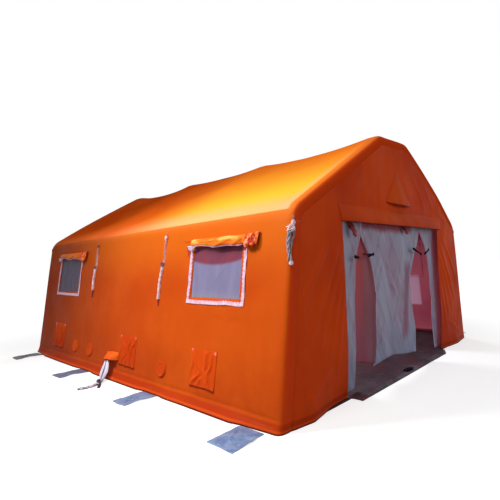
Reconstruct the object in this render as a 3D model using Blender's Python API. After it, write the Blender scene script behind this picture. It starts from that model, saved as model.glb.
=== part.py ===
"""Inflatable decontamination tent: four air arches under an outer skin, with a curtained front door.

Metres, +Z up. The origin is the middle of the floor. X runs across the tent and Y along it; the front
door faces -Y. The side with the service ports is at -X.
"""

import math
from collections import namedtuple

import bpy
import bmesh
from mathutils import Vector

# Outer skin, over its outer face and to the sharp corners
BASE_WIDTH = 5.20
EAVE_WIDTH = 4.566
EAVE_HEIGHT = 2.016
RIDGE_HEIGHT = 3.08
TOP_WIDTH = 0.78
LENGTH = 5.95
SKIN = 0.003
BEND_RADIUS = 0.27
HEM_HEIGHT = 0.12
HEM_FLARE = 0.07
HEM_CORNER_FLARE = 0.03
HEM_RUN_OUT = 0.45
BAY_SAGS = (0.08, 0.045, 0.07)

# Air frame
BEAM_DIAMETER = 0.25
SPACER_DIAMETER = 0.20
LINTEL_DIAMETER = 0.15
BAYS = 3

# What keeps neighbours apart
GAP = 0.0003

# Floor
FLOOR_SHEET = 0.003
SILL_REACH = 0.128
SILL_MARGIN = 0.02

# Doors
DOOR_WIDTH = 2.88
DOOR_HEIGHT = 1.93
REAR_DOOR_LAP = 0.04
REAR_DOOR_CLEARANCE = 0.012
REAR_DOOR_BULGE = 0.02
HEADER_WIDTH = 3.12
HEADER_TOP = 2.10
HEADER_BOTTOM = 1.907
HEADER_STAND = 0.06
HEADER_RETURN = 0.10
VENT_WIDTH = 0.78
VENT_APEX = 2.65
VENT_BASE = 2.20
VENT_STAND = 0.08
VENT_DROOP = 0.02

# Door curtains, behind the front gable
CURTAIN = 0.002
CURTAIN_TOP_GAP = 0.0009
CURTAIN_SPLIT = 0.54
CURTAIN_LAP = 0.16
CURTAIN_FOLD = 0.022
CURTAIN_FOLD_WIDTH = 0.20
CURTAIN_FLOOR_CLEARANCE = 0.03
MIDDLE_HEM_RISE = 0.14
# Each slit: drop below the rail, pull of the side curtain, pull of the middle curtain
LEFT_SLIT = (
    (0.0, 0.0, 0.0),
    (0.16, 0.0, 0.0),
    (0.42, 0.09, 0.17),
    (0.93, 0.18, 0.29),
    (1.50, 0.20, 0.26),
    (1.93, 0.27, 0.14),
)
RIGHT_SLIT = (
    (0.0, 0.0, 0.0),
    (0.12, 0.0, 0.0),
    (0.42, 0.28, 0.28),
    (0.75, 0.34, 0.39),
    (1.05, 0.35, 0.37),
    (1.50, 0.38, 0.29),
    (1.93, 0.46, 0.34),
)

# Windows, two in each side wall; drops are down the wall's slope from where the eave bend starts
WINDOW_OFFSET = 1.94
WINDOW_WIDTH = 0.79
WINDOW_HEIGHT = 0.575
WINDOW_DROP = 0.185
FILM = 0.002
FILM_LAP = 0.03
TAPE = 0.002
TAPE_WIDTH = 0.045
TAPE_MARGIN = 0.025
COVER_LENGTH = 1.20
COVER_DEPTH = 0.085
COVER_DROP = 0.085
COVER_DROOP = 0.05

# Service ports in the left wall; heights are along the wall's slope
DUCT_PLACES = (-1.86, -0.28, 2.04)
DUCT_WIDTH = 0.42
DUCT_DROP = 0.40
DUCT_TOP = 0.595
DUCT_LIFT = 0.012
FLAP = 0.003
VALVE_PLACES = (-1.09, 0.84, 1.36)
VALVE_DIAMETER = 0.20
VALVE_HEIGHT = 0.28
VALVE_DOME = 0.012
HOOD_PLACE = 0.11
HOOD_WIDTH = 0.34
HOOD_TOP = 0.345
HOOD_DROP = 0.085
HOOD_STAND = 0.10
HOOD_RETURN = 0.09

# Cable sleeve, hanging from under the hood to the ground
# Each place: along the tent, up the wall, out from it, width, heading in degrees
SLEEVE_ROUTE = (
    (0.184, 0.285, 0.0003, 0.100, 0.0),
    (0.182, 0.276, 0.030, 0.104, 0.0),
    (0.176, 0.245, 0.0515, 0.106, 3.0),
    (0.150, 0.176, 0.073, 0.106, 10.0),
    (0.095, 0.103, 0.117, 0.096, 22.0),
    (0.030, 0.0445, 0.169, 0.076, 34.0),
    (-0.028, 0.003, 0.213, 0.056, 38.0),
    (-0.065, -0.0162, 0.2555, 0.044, 39.0),
)
SLEEVE_THICKNESS = 0.034
TIE_DIAMETER = 0.012
# Each place: away from the tent and along it, from the sleeve's end, and the share of its height
TIE_ROUTE = (
    (0.0002, -0.0002, 1.0),
    (0.020, -0.0165, 0.68),
    (0.050, -0.040, 0.16),
    (0.100, -0.064, 0.0),
    (0.165, -0.074, 0.0),
    (0.235, -0.063, 0.0),
    (0.305, -0.043, 0.0),
)

# Ground tabs, four along each side
TAB_PLACES = (-2.68, -1.02, 0.755, 2.655)
TAB_WIDTH = 0.29
TAB_REACH = 3.10
TAB = 0.004
TAB_WAVE = 0.006

# Guy lines put away in hanks under the eave, on the left side
LOOP_WIDTH = 0.030
LOOP_LENGTH = 0.055
LOOP_THICKNESS = 0.004
LOOP_RISE = 0.045
CORNER_LOOP_TURN = 45.0
CORD_DIAMETER = 0.006
CORD_STEP = 0.0072
HANK_HALF_WIDTH = 0.018
HANK_WAIST = 0.2
HANK_TURNS = 3.41
HANK_RUN_SHARE = 0.41
HANK_CLIMB = 0.15
# The arch each hank hangs beside, counted from the front: drop to the hank, its straight run
HANKS = {0: (0.13, 0.29), 1: (0.36, 0.42), 2: (0.36, 0.34)}

# Tones of the materials: red, green, blue, roughness
ORANGE = (0.80, 0.16, 0.02, 0.5)
DEEP_ORANGE = (0.70, 0.12, 0.02, 0.55)
WHITE_CLOTH = (0.60, 0.60, 0.68, 0.7)
WHITE_TAPE = (0.80, 0.72, 0.76, 0.7)
CLEAR_FILM = (0.45, 0.45, 0.58, 0.25)
SILVER = (0.34, 0.40, 0.50, 0.45)
GROUND_GREY = (0.16, 0.13, 0.15, 0.7)

Row = namedtuple("Row", "x z nx nz sag flare")
Column = namedtuple("Column", "y end wrap sag flare")

LEAN = math.atan((BASE_WIDTH - EAVE_WIDTH) / 2 / EAVE_HEIGHT)
SLOPE = math.atan((RIDGE_HEIGHT - EAVE_HEIGHT) / ((EAVE_WIDTH - TOP_WIDTH) / 2))
ROOF_TILT = math.pi / 2 - SLOPE
BEAM_INSET = SKIN + GAP + BEAM_DIAMETER / 2
CORNER_RADIUS = BEAM_INSET
END_ARCH_Y = LENGTH / 2 - CORNER_RADIUS
GABLE_FACE = LENGTH / 2
ARCH_FLAT = 0.05
BAY_STEPS = 6
EAVE_STEPS = 2
RIDGE_STEPS = 1
WRAP_STEPS = 3
ROUND_SIDES = 12


def clear_scene():
    for obj in list(bpy.data.objects):
        bpy.data.objects.remove(obj, do_unlink=True)


def give_material(obj, tone):
    material = bpy.data.materials.new(obj.name + "_finish")
    material.use_nodes = True
    shader = material.node_tree.nodes["Principled BSDF"]
    shader.inputs["Base Color"].default_value = (tone[0], tone[1], tone[2], 1.0)
    shader.inputs["Roughness"].default_value = tone[3]
    shader.inputs["Metallic"].default_value = 0.0
    obj.data.materials.append(material)


def add_mesh(name, points, faces, tone, origin=(0.0, 0.0, 0.0)):
    """A mesh object from world points, with its own origin, which is a moving piece's hinge."""
    mesh = bpy.data.meshes.new(name)
    start = Vector(origin)
    mesh.from_pydata([Vector(p) - start for p in points], [], faces)
    shaped = bmesh.new()
    shaped.from_mesh(mesh)
    bmesh.ops.recalc_face_normals(shaped, faces=shaped.faces)
    shaped.to_mesh(mesh)
    shaped.free()
    mesh.shade_smooth()
    mesh.set_sharp_from_angle(angle=math.radians(40))
    obj = bpy.data.objects.new(name, mesh)
    obj.location = start
    bpy.context.scene.collection.objects.link(obj)
    give_material(obj, tone)
    return obj


def add_sheet(name, outer, inner, tone, origin=(0.0, 0.0, 0.0)):
    """A closed sheet between two grids of points, given as equal lists of rows.

    Both sides split their faces along the same diagonals, so a twisted sheet keeps its thickness.
    """
    rows = len(outer)
    columns = len(outer[0])
    points = [p for grid in (outer, inner) for line in grid for p in line]
    below = rows * columns

    def at(i, j):
        return i * columns + j

    faces = []
    for i in range(rows - 1):
        for j in range(columns - 1):
            corner = at(i, j), at(i, j + 1), at(i + 1, j + 1), at(i + 1, j)
            for pick in ((0, 1, 2), (0, 2, 3)):
                face = [corner[k] for k in pick]
                faces.append(face)
                faces.append([below + k for k in reversed(face)])
    rim = [at(0, j) for j in range(columns)]
    rim += [at(i, columns - 1) for i in range(1, rows)]
    rim += [at(rows - 1, j) for j in range(columns - 2, -1, -1)]
    rim += [at(i, 0) for i in range(rows - 2, 0, -1)]
    for a, b in zip(rim, rim[1:] + rim[:1]):
        faces.append((b, a, below + a, below + b))
    return add_mesh(name, points, faces, tone, origin)


def add_rings(name, rings, tone, origin=(0.0, 0.0, 0.0)):
    """A closed tube through rings of equally many points."""
    sides = len(rings[0])
    points = [p for ring in rings for p in ring]
    faces = [tuple(reversed(range(sides)))]
    for i in range(len(rings) - 1):
        for j in range(sides):
            k = (j + 1) % sides
            low = i * sides
            faces.append((low + j, low + k, low + sides + k, low + sides + j))
    faces.append(tuple(range(len(points) - sides, len(points))))
    return add_mesh(name, points, faces, tone, origin)


def join_boolean(obj, other, operation):
    """Cuts or joins the other object, which is then deleted with its mesh applied."""
    modifier = obj.modifiers.new(operation.title(), "BOOLEAN")
    modifier.operation = operation
    modifier.object = other
    modifier.solver = "EXACT"
    graph = bpy.context.evaluated_depsgraph_get()
    result = bpy.data.meshes.new_from_object(obj.evaluated_get(graph))
    obj.modifiers.remove(modifier)
    obj.data = result
    bpy.data.objects.remove(other, do_unlink=True)


# Section of the skin


def wall_x(z):
    """Half width of the wall's outer face at a height."""
    return BASE_WIDTH / 2 - z * math.tan(LEAN)


def bend_centre(corner, first_tilt, last_tilt):
    """Centre of the round that replaces a sharp corner, from the tilts of the faces beside it."""
    middle = (first_tilt + last_tilt) / 2
    reach = BEND_RADIUS / math.cos((last_tilt - first_tilt) / 2)
    return corner[0] - reach * math.cos(middle), corner[1] - reach * math.sin(middle)


EAVE_CENTRE = bend_centre((EAVE_WIDTH / 2, EAVE_HEIGHT), LEAN, ROOF_TILT)
RIDGE_CENTRE = bend_centre((TOP_WIDTH / 2, RIDGE_HEIGHT), ROOF_TILT, math.pi / 2)
BEND_START = (EAVE_CENTRE[1] + BEND_RADIUS * math.sin(LEAN)) / math.cos(LEAN)
WINDOW_TOP = BEND_START - WINDOW_DROP
WINDOW_BOTTOM = WINDOW_TOP - WINDOW_HEIGHT
COVER_TOP = BEND_START - COVER_DROP
LOOP_TOP = BEND_START + LOOP_RISE
SEAM_TURN = GAP / 2 / (BEND_RADIUS - CORNER_RADIUS)
EAVE_SEAM = (LEAN + ROOF_TILT) / 2
RIDGE_SEAM = (ROOF_TILT + math.pi / 2) / 2


def bend_row(centre, tilt, sag=0.0):
    across, up = math.cos(tilt), math.sin(tilt)
    return Row(centre[0] + BEND_RADIUS * across, centre[1] + BEND_RADIUS * up, across, up, sag, 0.0)


def spread(first, last, steps):
    return [first + (last - first) * i / steps for i in range(steps + 1)]


def wall_rows():
    """From the foot up to the seam in the middle of the eave bend."""
    start = EAVE_CENTRE[1] + BEND_RADIUS * math.sin(LEAN)
    heights = [0.0, HEM_HEIGHT / 2, HEM_HEIGHT]
    heights += spread(HEM_HEIGHT, start, 2)[1:-1]
    rows = [
        Row(wall_x(z), z, 1 / math.cos(LEAN), 0.0, 0.0, max(0.0, 1 - z / HEM_HEIGHT) ** 2)
        for z in heights
    ]
    rows += [bend_row(EAVE_CENTRE, t) for t in spread(LEAN, EAVE_SEAM - SEAM_TURN, EAVE_STEPS)]
    return rows


def slope_rows():
    """From the eave seam up to the seam in the middle of the ridge bend."""
    rows = [bend_row(EAVE_CENTRE, t) for t in spread(EAVE_SEAM + SEAM_TURN, ROOF_TILT, EAVE_STEPS)]
    low, high = rows[-1], bend_row(RIDGE_CENTRE, ROOF_TILT)
    for share in spread(0.0, 1.0, 4)[1:-1]:
        rows.append(
            Row(
                low.x + (high.x - low.x) * share,
                low.z + (high.z - low.z) * share,
                low.nx,
                low.nz,
                math.sin(share * math.pi / 2),
                0.0,
            )
        )
    tilts = spread(ROOF_TILT, RIDGE_SEAM - SEAM_TURN, RIDGE_STEPS)
    return rows + [bend_row(RIDGE_CENTRE, t, 1.0) for t in tilts]


def top_rows():
    """From one ridge seam over the flat top to its middle."""
    tilts = spread(RIDGE_SEAM + SEAM_TURN, math.pi / 2, RIDGE_STEPS)
    rows = [bend_row(RIDGE_CENTRE, t, 1.0) for t in tilts]
    return rows + [Row(0.0, RIDGE_HEIGHT, 0.0, 1.0, 1.0, 0.0)]


# Columns of the skin along the tent


def arch_places():
    return spread(-END_ARCH_Y, END_ARCH_Y, BAYS)


def hem_flare(y):
    """How far the hem stands out at its foot: little at the corners, more along the side."""
    share = min(1.0, (END_ARCH_Y - abs(y)) / HEM_RUN_OUT)
    return HEM_CORNER_FLARE + (HEM_FLARE - HEM_CORNER_FLARE) * share


def skin_columns():
    wraps = [math.radians(90 * k / WRAP_STEPS) for k in range(1, WRAP_STEPS + 1)]
    arches = arch_places()
    columns = [
        Column(arches[0], -1, w, 0.0, HEM_CORNER_FLARE * math.cos(w)) for w in reversed(wraps)
    ]
    columns.append(Column(arches[0], 0, 0.0, 0.0, hem_flare(arches[0])))
    for bay, (first, last) in enumerate(zip(arches, arches[1:])):
        for y in spread(first + ARCH_FLAT, last - ARCH_FLAT, BAY_STEPS):
            share = (y - first - ARCH_FLAT) / (last - first - 2 * ARCH_FLAT)
            columns.append(Column(y, 0, 0.0, 4 * BAY_SAGS[bay] * share * (1 - share), hem_flare(y)))
    columns.append(Column(arches[-1], 0, 0.0, 0.0, hem_flare(arches[-1])))
    columns += [Column(arches[-1], 1, w, 0.0, HEM_CORNER_FLARE * math.cos(w)) for w in wraps]
    return columns


def skin_point(side, row, column, depth):
    """A point of the skin on side -1 or 1, a depth below the outer face."""
    radius = CORNER_RADIUS - depth
    inset = CORNER_RADIUS - radius * math.cos(column.wrap)
    inset += column.sag * row.sag - column.flare * row.flare
    x = row.x - row.nx * inset
    return (side * x, column.y + column.end * radius * math.sin(column.wrap), row.z - row.nz * inset)


def add_skin(name, sided_rows, tone):
    columns = skin_columns()
    grids = [
        [[skin_point(side, row, column, depth) for column in columns] for side, row in sided_rows]
        for depth in (0.0, SKIN)
    ]
    return add_sheet(name, grids[0], grids[1], tone)


def gable_outline():
    """The gable's edge from its left foot over the ridge to its right foot."""
    inset = CORNER_RADIUS + GAP
    rows = wall_rows() + slope_rows() + top_rows()
    half = [(row.x - row.nx * inset, row.z - row.nz * inset) for row in rows]
    return [(-x, z) for x, z in half] + [(x, z) for x, z in reversed(half[:-1])]


def add_gable(name, end, tone):
    half = DOOR_WIDTH / 2
    outline = gable_outline() + [(half, 0.0), (half, DOOR_HEIGHT), (-half, DOOR_HEIGHT), (-half, 0.0)]
    count = len(outline)
    points = [(x, end * GABLE_FACE, z) for x, z in outline]
    points += [(x, end * (GABLE_FACE - SKIN), z) for x, z in outline]
    faces = [tuple(range(count)), tuple(range(2 * count - 1, count - 1, -1))]
    for i in range(count):
        k = (i + 1) % count
        faces.append((i, k, count + k, count + i))
    return add_mesh(name, points, faces, tone)


# Places on the leaning side walls


def wall_point(side, y, up, out):
    """A point by its place along the tent, up the wall's slope, and out from the wall's outer face."""
    x = BASE_WIDTH / 2 - up * math.sin(LEAN) + out * math.cos(LEAN)
    return (side * x, y, up * math.cos(LEAN) + out * math.sin(LEAN))


def wall_box(side, y_range, up_range, out_range):
    """The eight corners of a box set on the wall, as two rings."""
    rings = []
    for up in up_range:
        low, high = y_range
        inner, outer = out_range
        corners = ((low, inner), (high, inner), (high, outer), (low, outer))
        rings.append([wall_point(side, y, up, out) for y, out in corners])
    return rings


# Air frame


def beam_section(inset):
    """(x, z, tangent) along half an arch's centre line, from the foot to the top."""
    foot_z = FLOOR_SHEET + GAP
    line = [(wall_x(foot_z) - inset / math.cos(LEAN), foot_z, LEAN)]
    radius = BEND_RADIUS - inset
    for centre, tilts in (
        (EAVE_CENTRE, spread(LEAN, ROOF_TILT, 2 * EAVE_STEPS)),
        (RIDGE_CENTRE, spread(ROOF_TILT, math.pi / 2, 2 * RIDGE_STEPS)),
    ):
        line += [
            (centre[0] + radius * math.cos(t), centre[1] + radius * math.sin(t), t) for t in tilts
        ]
    return line


def add_arch(name, y, tone):
    radius = BEAM_DIAMETER / 2
    half = beam_section(BEAM_INSET)
    line = [(x, z, t) for x, z, t in half] + [(-x, z, math.pi - t) for x, z, t in reversed(half)]
    rings = []
    for index, (x, z, tilt) in enumerate(line):
        foot = index in (0, len(line) - 1)
        ring = []
        for k in range(ROUND_SIDES):
            angle = 2 * math.pi * k / ROUND_SIDES
            out = radius * math.cos(angle)
            if foot:
                point = (x + out / abs(math.cos(tilt)), y + radius * math.sin(angle), z)
            else:
                point = (
                    x + out * math.cos(tilt),
                    y + radius * math.sin(angle),
                    z + out * math.sin(tilt),
                )
            ring.append(point)
        if foot and math.cos(tilt) < 0:
            ring = [(2 * x - px, py, pz) for px, py, pz in ring]
        rings.append(ring)
    return add_rings(name, rings, tone)


def add_spacer(name, side, first, last, tone):
    """A beam under the eave bend, from one arch to the next."""
    radius = SPACER_DIAMETER / 2
    reach = BEND_RADIUS - SKIN - GAP - radius
    x = side * (EAVE_CENTRE[0] + reach * math.cos(EAVE_SEAM))
    z = EAVE_CENTRE[1] + reach * math.sin(EAVE_SEAM)
    rings = []
    for y in (first + BEAM_DIAMETER / 2 + GAP, last - BEAM_DIAMETER / 2 - GAP):
        ring = []
        for k in range(ROUND_SIDES):
            angle = EAVE_SEAM + 2 * math.pi * k / ROUND_SIDES
            ring.append((x + side * radius * math.cos(angle), y, z + radius * math.sin(angle)))
        rings.append(ring)
    return add_rings(name, rings, tone)


LINTEL_Y = GABLE_FACE - SKIN - GAP - LINTEL_DIAMETER / 2
LINTEL_Z = DOOR_HEIGHT + LINTEL_DIAMETER / 2


def beam_underside_x(z):
    """Half the clear width inside an arch at a height."""
    inset = SKIN + GAP + BEAM_DIAMETER + GAP
    leg = wall_x(z) - inset / math.cos(LEAN)
    rafter = EAVE_WIDTH / 2 - (inset + (z - EAVE_HEIGHT) * math.sin(ROOF_TILT)) / math.cos(ROOF_TILT)
    return min(leg, rafter)


def add_lintel(name, end, tone):
    """A beam across the gable over the door, its ends cut to the slope of the arch."""
    radius = LINTEL_DIAMETER / 2
    rings = []
    for side in (-1, 1):
        ring = []
        for k in range(ROUND_SIDES):
            angle = 2 * math.pi * k / ROUND_SIDES
            z = LINTEL_Z + radius * math.sin(angle)
            x = side * beam_underside_x(z)
            ring.append((x, end * (LINTEL_Y + radius * math.cos(angle)), z))
        rings.append(ring)
    return add_rings(name, rings, tone)


# Doors


def gable_point(end, x, z, out):
    """A point by its place on a gable and its distance out from the gable's outer face."""
    return (x, end * (GABLE_FACE + out), z)


def awning_out(share, drop_share, stand, turn_in):
    """How far an awning stands out: share runs 0 to 1 across, drop_share 0 to 1 down."""
    edge = min(share, 1 - share)
    return GAP + stand * drop_share * math.sin(min(1.0, edge / turn_in) * math.pi / 2)


def add_awning(name, place, size, stand, turn_in, tone):
    """A flap that hangs from its top edge, stands out below and turns back in at both ends."""
    width, drop = size
    shares = (0.0, turn_in / width / 2, turn_in / width, 0.3, 0.5, 0.7)
    shares += (1 - turn_in / width, 1 - turn_in / width / 2, 1.0)
    grids = []
    for lift in (FLAP, 0.0):
        grid = []
        for down in (0.0, 0.5, 1.0):
            line = []
            for share in shares:
                out = awning_out(share, math.sin(down * math.pi / 2), stand, turn_in / width)
                line.append(place((share - 0.5) * width, -down * drop, out + lift))
            grid.append(line)
        grids.append(grid)
    return add_sheet(name, grids[0], grids[1], tone, place(0.0, 0.0, GAP + FLAP))


def add_header(tone):
    def place(x, z, out):
        return gable_point(-1, x, HEADER_TOP + z, out)

    size = (HEADER_WIDTH, HEADER_TOP - HEADER_BOTTOM)
    return add_awning("front_door_header_flap", place, size, HEADER_STAND, HEADER_RETURN, tone)


def add_rear_door(tone):
    """The closed rear door, which laps over the opening on three sides."""
    half = DOOR_WIDTH / 2 + REAR_DOOR_LAP
    top = DOOR_HEIGHT + REAR_DOOR_LAP
    grids = []
    for lift in (FLAP, 0.0):
        grid = []
        for z in spread(REAR_DOOR_CLEARANCE, top, 4):
            line = []
            for x in spread(-half, half, 8):
                share = math.cos(x / half * math.pi / 2) * math.sin(z / top * math.pi)
                line.append(gable_point(1, x, z, GAP + REAR_DOOR_BULGE * max(0.0, share) + lift))
            grid.append(line)
        grids.append(grid)
    return add_sheet("rear_door", grids[0], grids[1], tone, gable_point(1, 0.0, top, GAP + FLAP))


def add_vent_hood(name, end, tone):
    """A three-cornered hood, sewn on along two edges and standing out at its base."""
    half = VENT_WIDTH / 2
    grids = []
    for lift in (FLAP, 0.0):
        grid = []
        for down in (0.06, 0.4, 0.7, 1.0):
            z = VENT_APEX + (VENT_BASE - VENT_APEX) * down
            line = []
            for share in (-1.0, -0.5, 0.0, 0.5, 1.0):
                bulge = (1 - abs(share)) * down
                x = share * half * down
                line.append(
                    gable_point(end, x, z - VENT_DROOP * bulge, GAP + VENT_STAND * bulge + lift)
                )
            grid.append(line)
        grids.append(grid)
    return add_sheet(name, grids[0], grids[1], tone)


def slit_pull(slit, drop, which):
    """The curtain's pull at a drop below the rail; which is 1 for the side curtain, 2 for the middle."""
    for before, after in zip(slit, slit[1:]):
        if drop <= after[0]:
            share = (drop - before[0]) / (after[0] - before[0])
            return before[which] + (after[which] - before[which]) * share
    return slit[-1][which]


CURTAIN_TOP = DOOR_HEIGHT - CURTAIN_TOP_GAP


def add_curtain(name, edges, hem, steps, tone):
    """Hanging cloth between two edges, each a function of the drop, with its main folds."""
    left_edge, right_edge = edges
    drop_full = CURTAIN_TOP - hem
    grids = []
    for lift in (CURTAIN / 2, -CURTAIN / 2):
        grid = []
        for share_down in (0.0, 0.07, 0.2, 0.4, 0.6, 0.8, 1.0):
            drop = share_down * drop_full
            left, right = left_edge(drop), right_edge(drop)
            line = []
            for share in spread(0.0, 1.0, steps):
                x = left + (right - left) * share
                folds = (right_edge(0.0) - left_edge(0.0)) / CURTAIN_FOLD_WIDTH
                fold = CURTAIN_FOLD * math.sin(share_down * math.pi / 2)
                fold *= math.sin(2 * math.pi * round(folds) * share)
                line.append((x, -LINTEL_Y - fold - lift, CURTAIN_TOP - drop))
            grid.append(line)
        grids.append(grid)
    return add_sheet(name, grids[0], grids[1], tone, (0.0, -LINTEL_Y, CURTAIN_TOP))


def add_curtains(tone):
    split = DOOR_WIDTH / 2 - CURTAIN_SPLIT
    outer = DOOR_WIDTH / 2 + CURTAIN_LAP
    seam = GAP

    def left_inner(drop):
        return -split - seam - slit_pull(LEFT_SLIT, drop, 1)

    def middle_left(drop):
        return -split + seam + slit_pull(LEFT_SLIT, drop, 2)

    def middle_right(drop):
        return split - seam - slit_pull(RIGHT_SLIT, drop, 2)

    def right_inner(drop):
        return split + seam + slit_pull(RIGHT_SLIT, drop, 1)

    def left_outer(drop):
        return -outer

    def right_outer(drop):
        return outer

    low = FLOOR_SHEET + CURTAIN_FLOOR_CLEARANCE
    add_curtain("front_curtain_left", (left_outer, left_inner), low, 12, tone)
    add_curtain("front_curtain_middle", (middle_left, middle_right), low + MIDDLE_HEM_RISE, 32, tone)
    add_curtain("front_curtain_right", (right_inner, right_outer), low, 12, tone)


# Windows


def window_range(place):
    return place - WINDOW_WIDTH / 2, place + WINDOW_WIDTH / 2


def add_film(name, side, place, tone):
    low, high = window_range(place)
    ups = (WINDOW_BOTTOM - FILM_LAP, WINDOW_TOP + FILM_LAP)
    outs = (-SKIN - GAP - FILM, -SKIN - GAP)
    return add_rings(name, wall_box(side, (low - FILM_LAP, high + FILM_LAP), ups, outs), tone)


def add_tape(name, side, place, tone):
    """Fastening tape on three sides of a window, for the edges of its cover."""
    low, high = window_range(place)
    inner = (low - TAPE_MARGIN, high + TAPE_MARGIN, WINDOW_BOTTOM - TAPE_MARGIN)
    outer = (inner[0] - TAPE_WIDTH, inner[1] + TAPE_WIDTH, inner[2] - TAPE_WIDTH)
    top = WINDOW_TOP
    outline = (
        (outer[0], top),
        (outer[0], outer[2]),
        (outer[1], outer[2]),
        (outer[1], top),
        (inner[1], top),
        (inner[1], inner[2]),
        (inner[0], inner[2]),
        (inner[0], top),
    )
    rings = [
        [wall_point(side, y, up, out) for y, up in outline] for out in (GAP, GAP + TAPE)
    ]
    return add_rings(name, rings, tone)


def add_cover(name, side, place, tone):
    """A window cover bunched up along its top seam, with drooping ends."""
    half = COVER_LENGTH / 2
    rings = []
    for share in (-1.0, -0.94, -0.8, -0.55, -0.3, 0.0, 0.3, 0.55, 0.8, 0.94, 1.0):
        droop = COVER_DROOP * max(0.0, (abs(share) - 0.8) / 0.2)
        plump = 0.5 if abs(share) == 1.0 else 1.0
        depth = COVER_DEPTH * plump * (0.82 + 0.18 * math.cos(9 * share))
        radius = depth / 2
        centre_up = COVER_TOP - droop - radius
        ring = []
        for k in range(8):
            angle = math.pi / 2 + 2 * math.pi * k / 8
            up = centre_up + radius * math.sin(angle)
            out = GAP + radius * (1 + math.cos(angle))
            ring.append(wall_point(side, place + share * half, up, out))
        rings.append(ring)
    return add_rings(name, rings, tone, wall_point(side, place, COVER_TOP, GAP))


# Service ports


def add_duct_flap(name, place, tone):
    grids = []
    for lift in (FLAP, 0.0):
        grid = []
        for down in spread(0.0, 1.0, 4):
            line = []
            for share in spread(-0.5, 0.5, 5):
                ripple = 0.5 + 0.5 * math.cos(9 * share + 3 * down)
                out = GAP + DUCT_LIFT * down * ripple + lift
                line.append(wall_point(-1, place + share * DUCT_WIDTH, DUCT_TOP - down * DUCT_DROP, out))
            grid.append(line)
        grids.append(grid)
    return add_sheet(name, grids[0], grids[1], tone, wall_point(-1, place, DUCT_TOP, GAP + FLAP))


def add_valve_cover(name, place, tone):
    """A round domed flap, hinged at its top."""
    rings = []
    for radius, out in ((0.5, 0.0), (0.5, FLAP), (0.34, FLAP + VALVE_DOME * 0.7), (0.14, FLAP + VALVE_DOME)):
        ring = []
        for k in range(16):
            angle = 2 * math.pi * k / 16
            y = place + radius * VALVE_DIAMETER * math.cos(angle)
            up = VALVE_HEIGHT + radius * VALVE_DIAMETER * math.sin(angle)
            ring.append(wall_point(-1, y, up, GAP + out))
        rings.append(ring)
    top = VALVE_HEIGHT + VALVE_DIAMETER / 2
    return add_rings(name, rings, tone, wall_point(-1, place, top, GAP + FLAP))


def add_hood(tone):
    def place(along, up, out):
        return wall_point(-1, HOOD_PLACE + along, HOOD_TOP + up, out)

    size = (HOOD_WIDTH, HOOD_DROP)
    return add_awning("cable_port_hood", place, size, HOOD_STAND, HOOD_RETURN, tone)


def sleeve_route():
    return [Vector(wall_point(-1, along, up, out)) for along, up, out, _, _ in SLEEVE_ROUTE]


def add_sleeve(tone):
    """A flattened cloth sleeve along its route, narrowing to where it is tied."""
    route = sleeve_route()
    rings = []
    for index, (centre, place) in enumerate(zip(route, SLEEVE_ROUTE)):
        ahead = route[min(index + 1, len(route) - 1)] - route[max(index - 1, 0)]
        if index == 0:
            ahead = Vector(wall_point(-1, 0.0, 0.0, 1.0)) - Vector(wall_point(-1, 0.0, 0.0, 0.0))
        heading = math.radians(place[4])
        across = Vector((-math.sin(heading), math.cos(heading), 0.0))
        over = across.cross(ahead).normalized()
        ring = []
        for k in range(10):
            angle = 2 * math.pi * k / 10
            side = across * (place[3] / 2 * math.cos(angle))
            ring.append(centre + side + over * (SLEEVE_THICKNESS / 2 * math.sin(angle)))
        rings.append(ring)
    return add_rings("cable_sleeve", rings, tone)


# Cords


def smooth_route(points, step):
    """Points along a smooth curve through the route's own points, about a step apart."""
    route = [Vector(p) for p in points]
    ends = [2 * route[0] - route[1]] + route + [2 * route[-1] - route[-2]]
    line = []
    for a, b, c, d in zip(ends, ends[1:], ends[2:], ends[3:]):
        count = max(1, round((c - b).length / step))
        for i in range(count):
            t = i / count
            line.append(
                b
                + (c - a) * (t / 2)
                + (2 * a - 5 * b + 4 * c - d) * (t * t / 2)
                + (3 * b - a - 3 * c + d) * (t * t * t / 2)
            )
    return line + [route[-1]]


def tie_route():
    """Along the ground from the end of the sleeve."""
    end = sleeve_route()[-1]
    rest = TIE_DIAMETER / 2 + GAP
    return [(end.x - out, end.y + along, rest + (end.z - rest) * share) for out, along, share in TIE_ROUTE]


def add_cord(name, line, diameter, detail, tone):
    curve = bpy.data.curves.new(name, "CURVE")
    curve.dimensions = "3D"
    curve.bevel_depth = diameter / 2
    curve.bevel_resolution = detail
    curve.use_fill_caps = True
    spline = curve.splines.new("POLY")
    spline.points.add(len(line) - 1)
    for point, place in zip(spline.points, line):
        point.co = (place[0], place[1], place[2], 1.0)
    obj = bpy.data.objects.new(name, curve)
    bpy.context.scene.collection.objects.link(obj)
    give_material(obj, tone)
    return obj


def smooth_step(share):
    share = min(1.0, max(0.0, share))
    return share * share * (3 - 2 * share)


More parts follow.
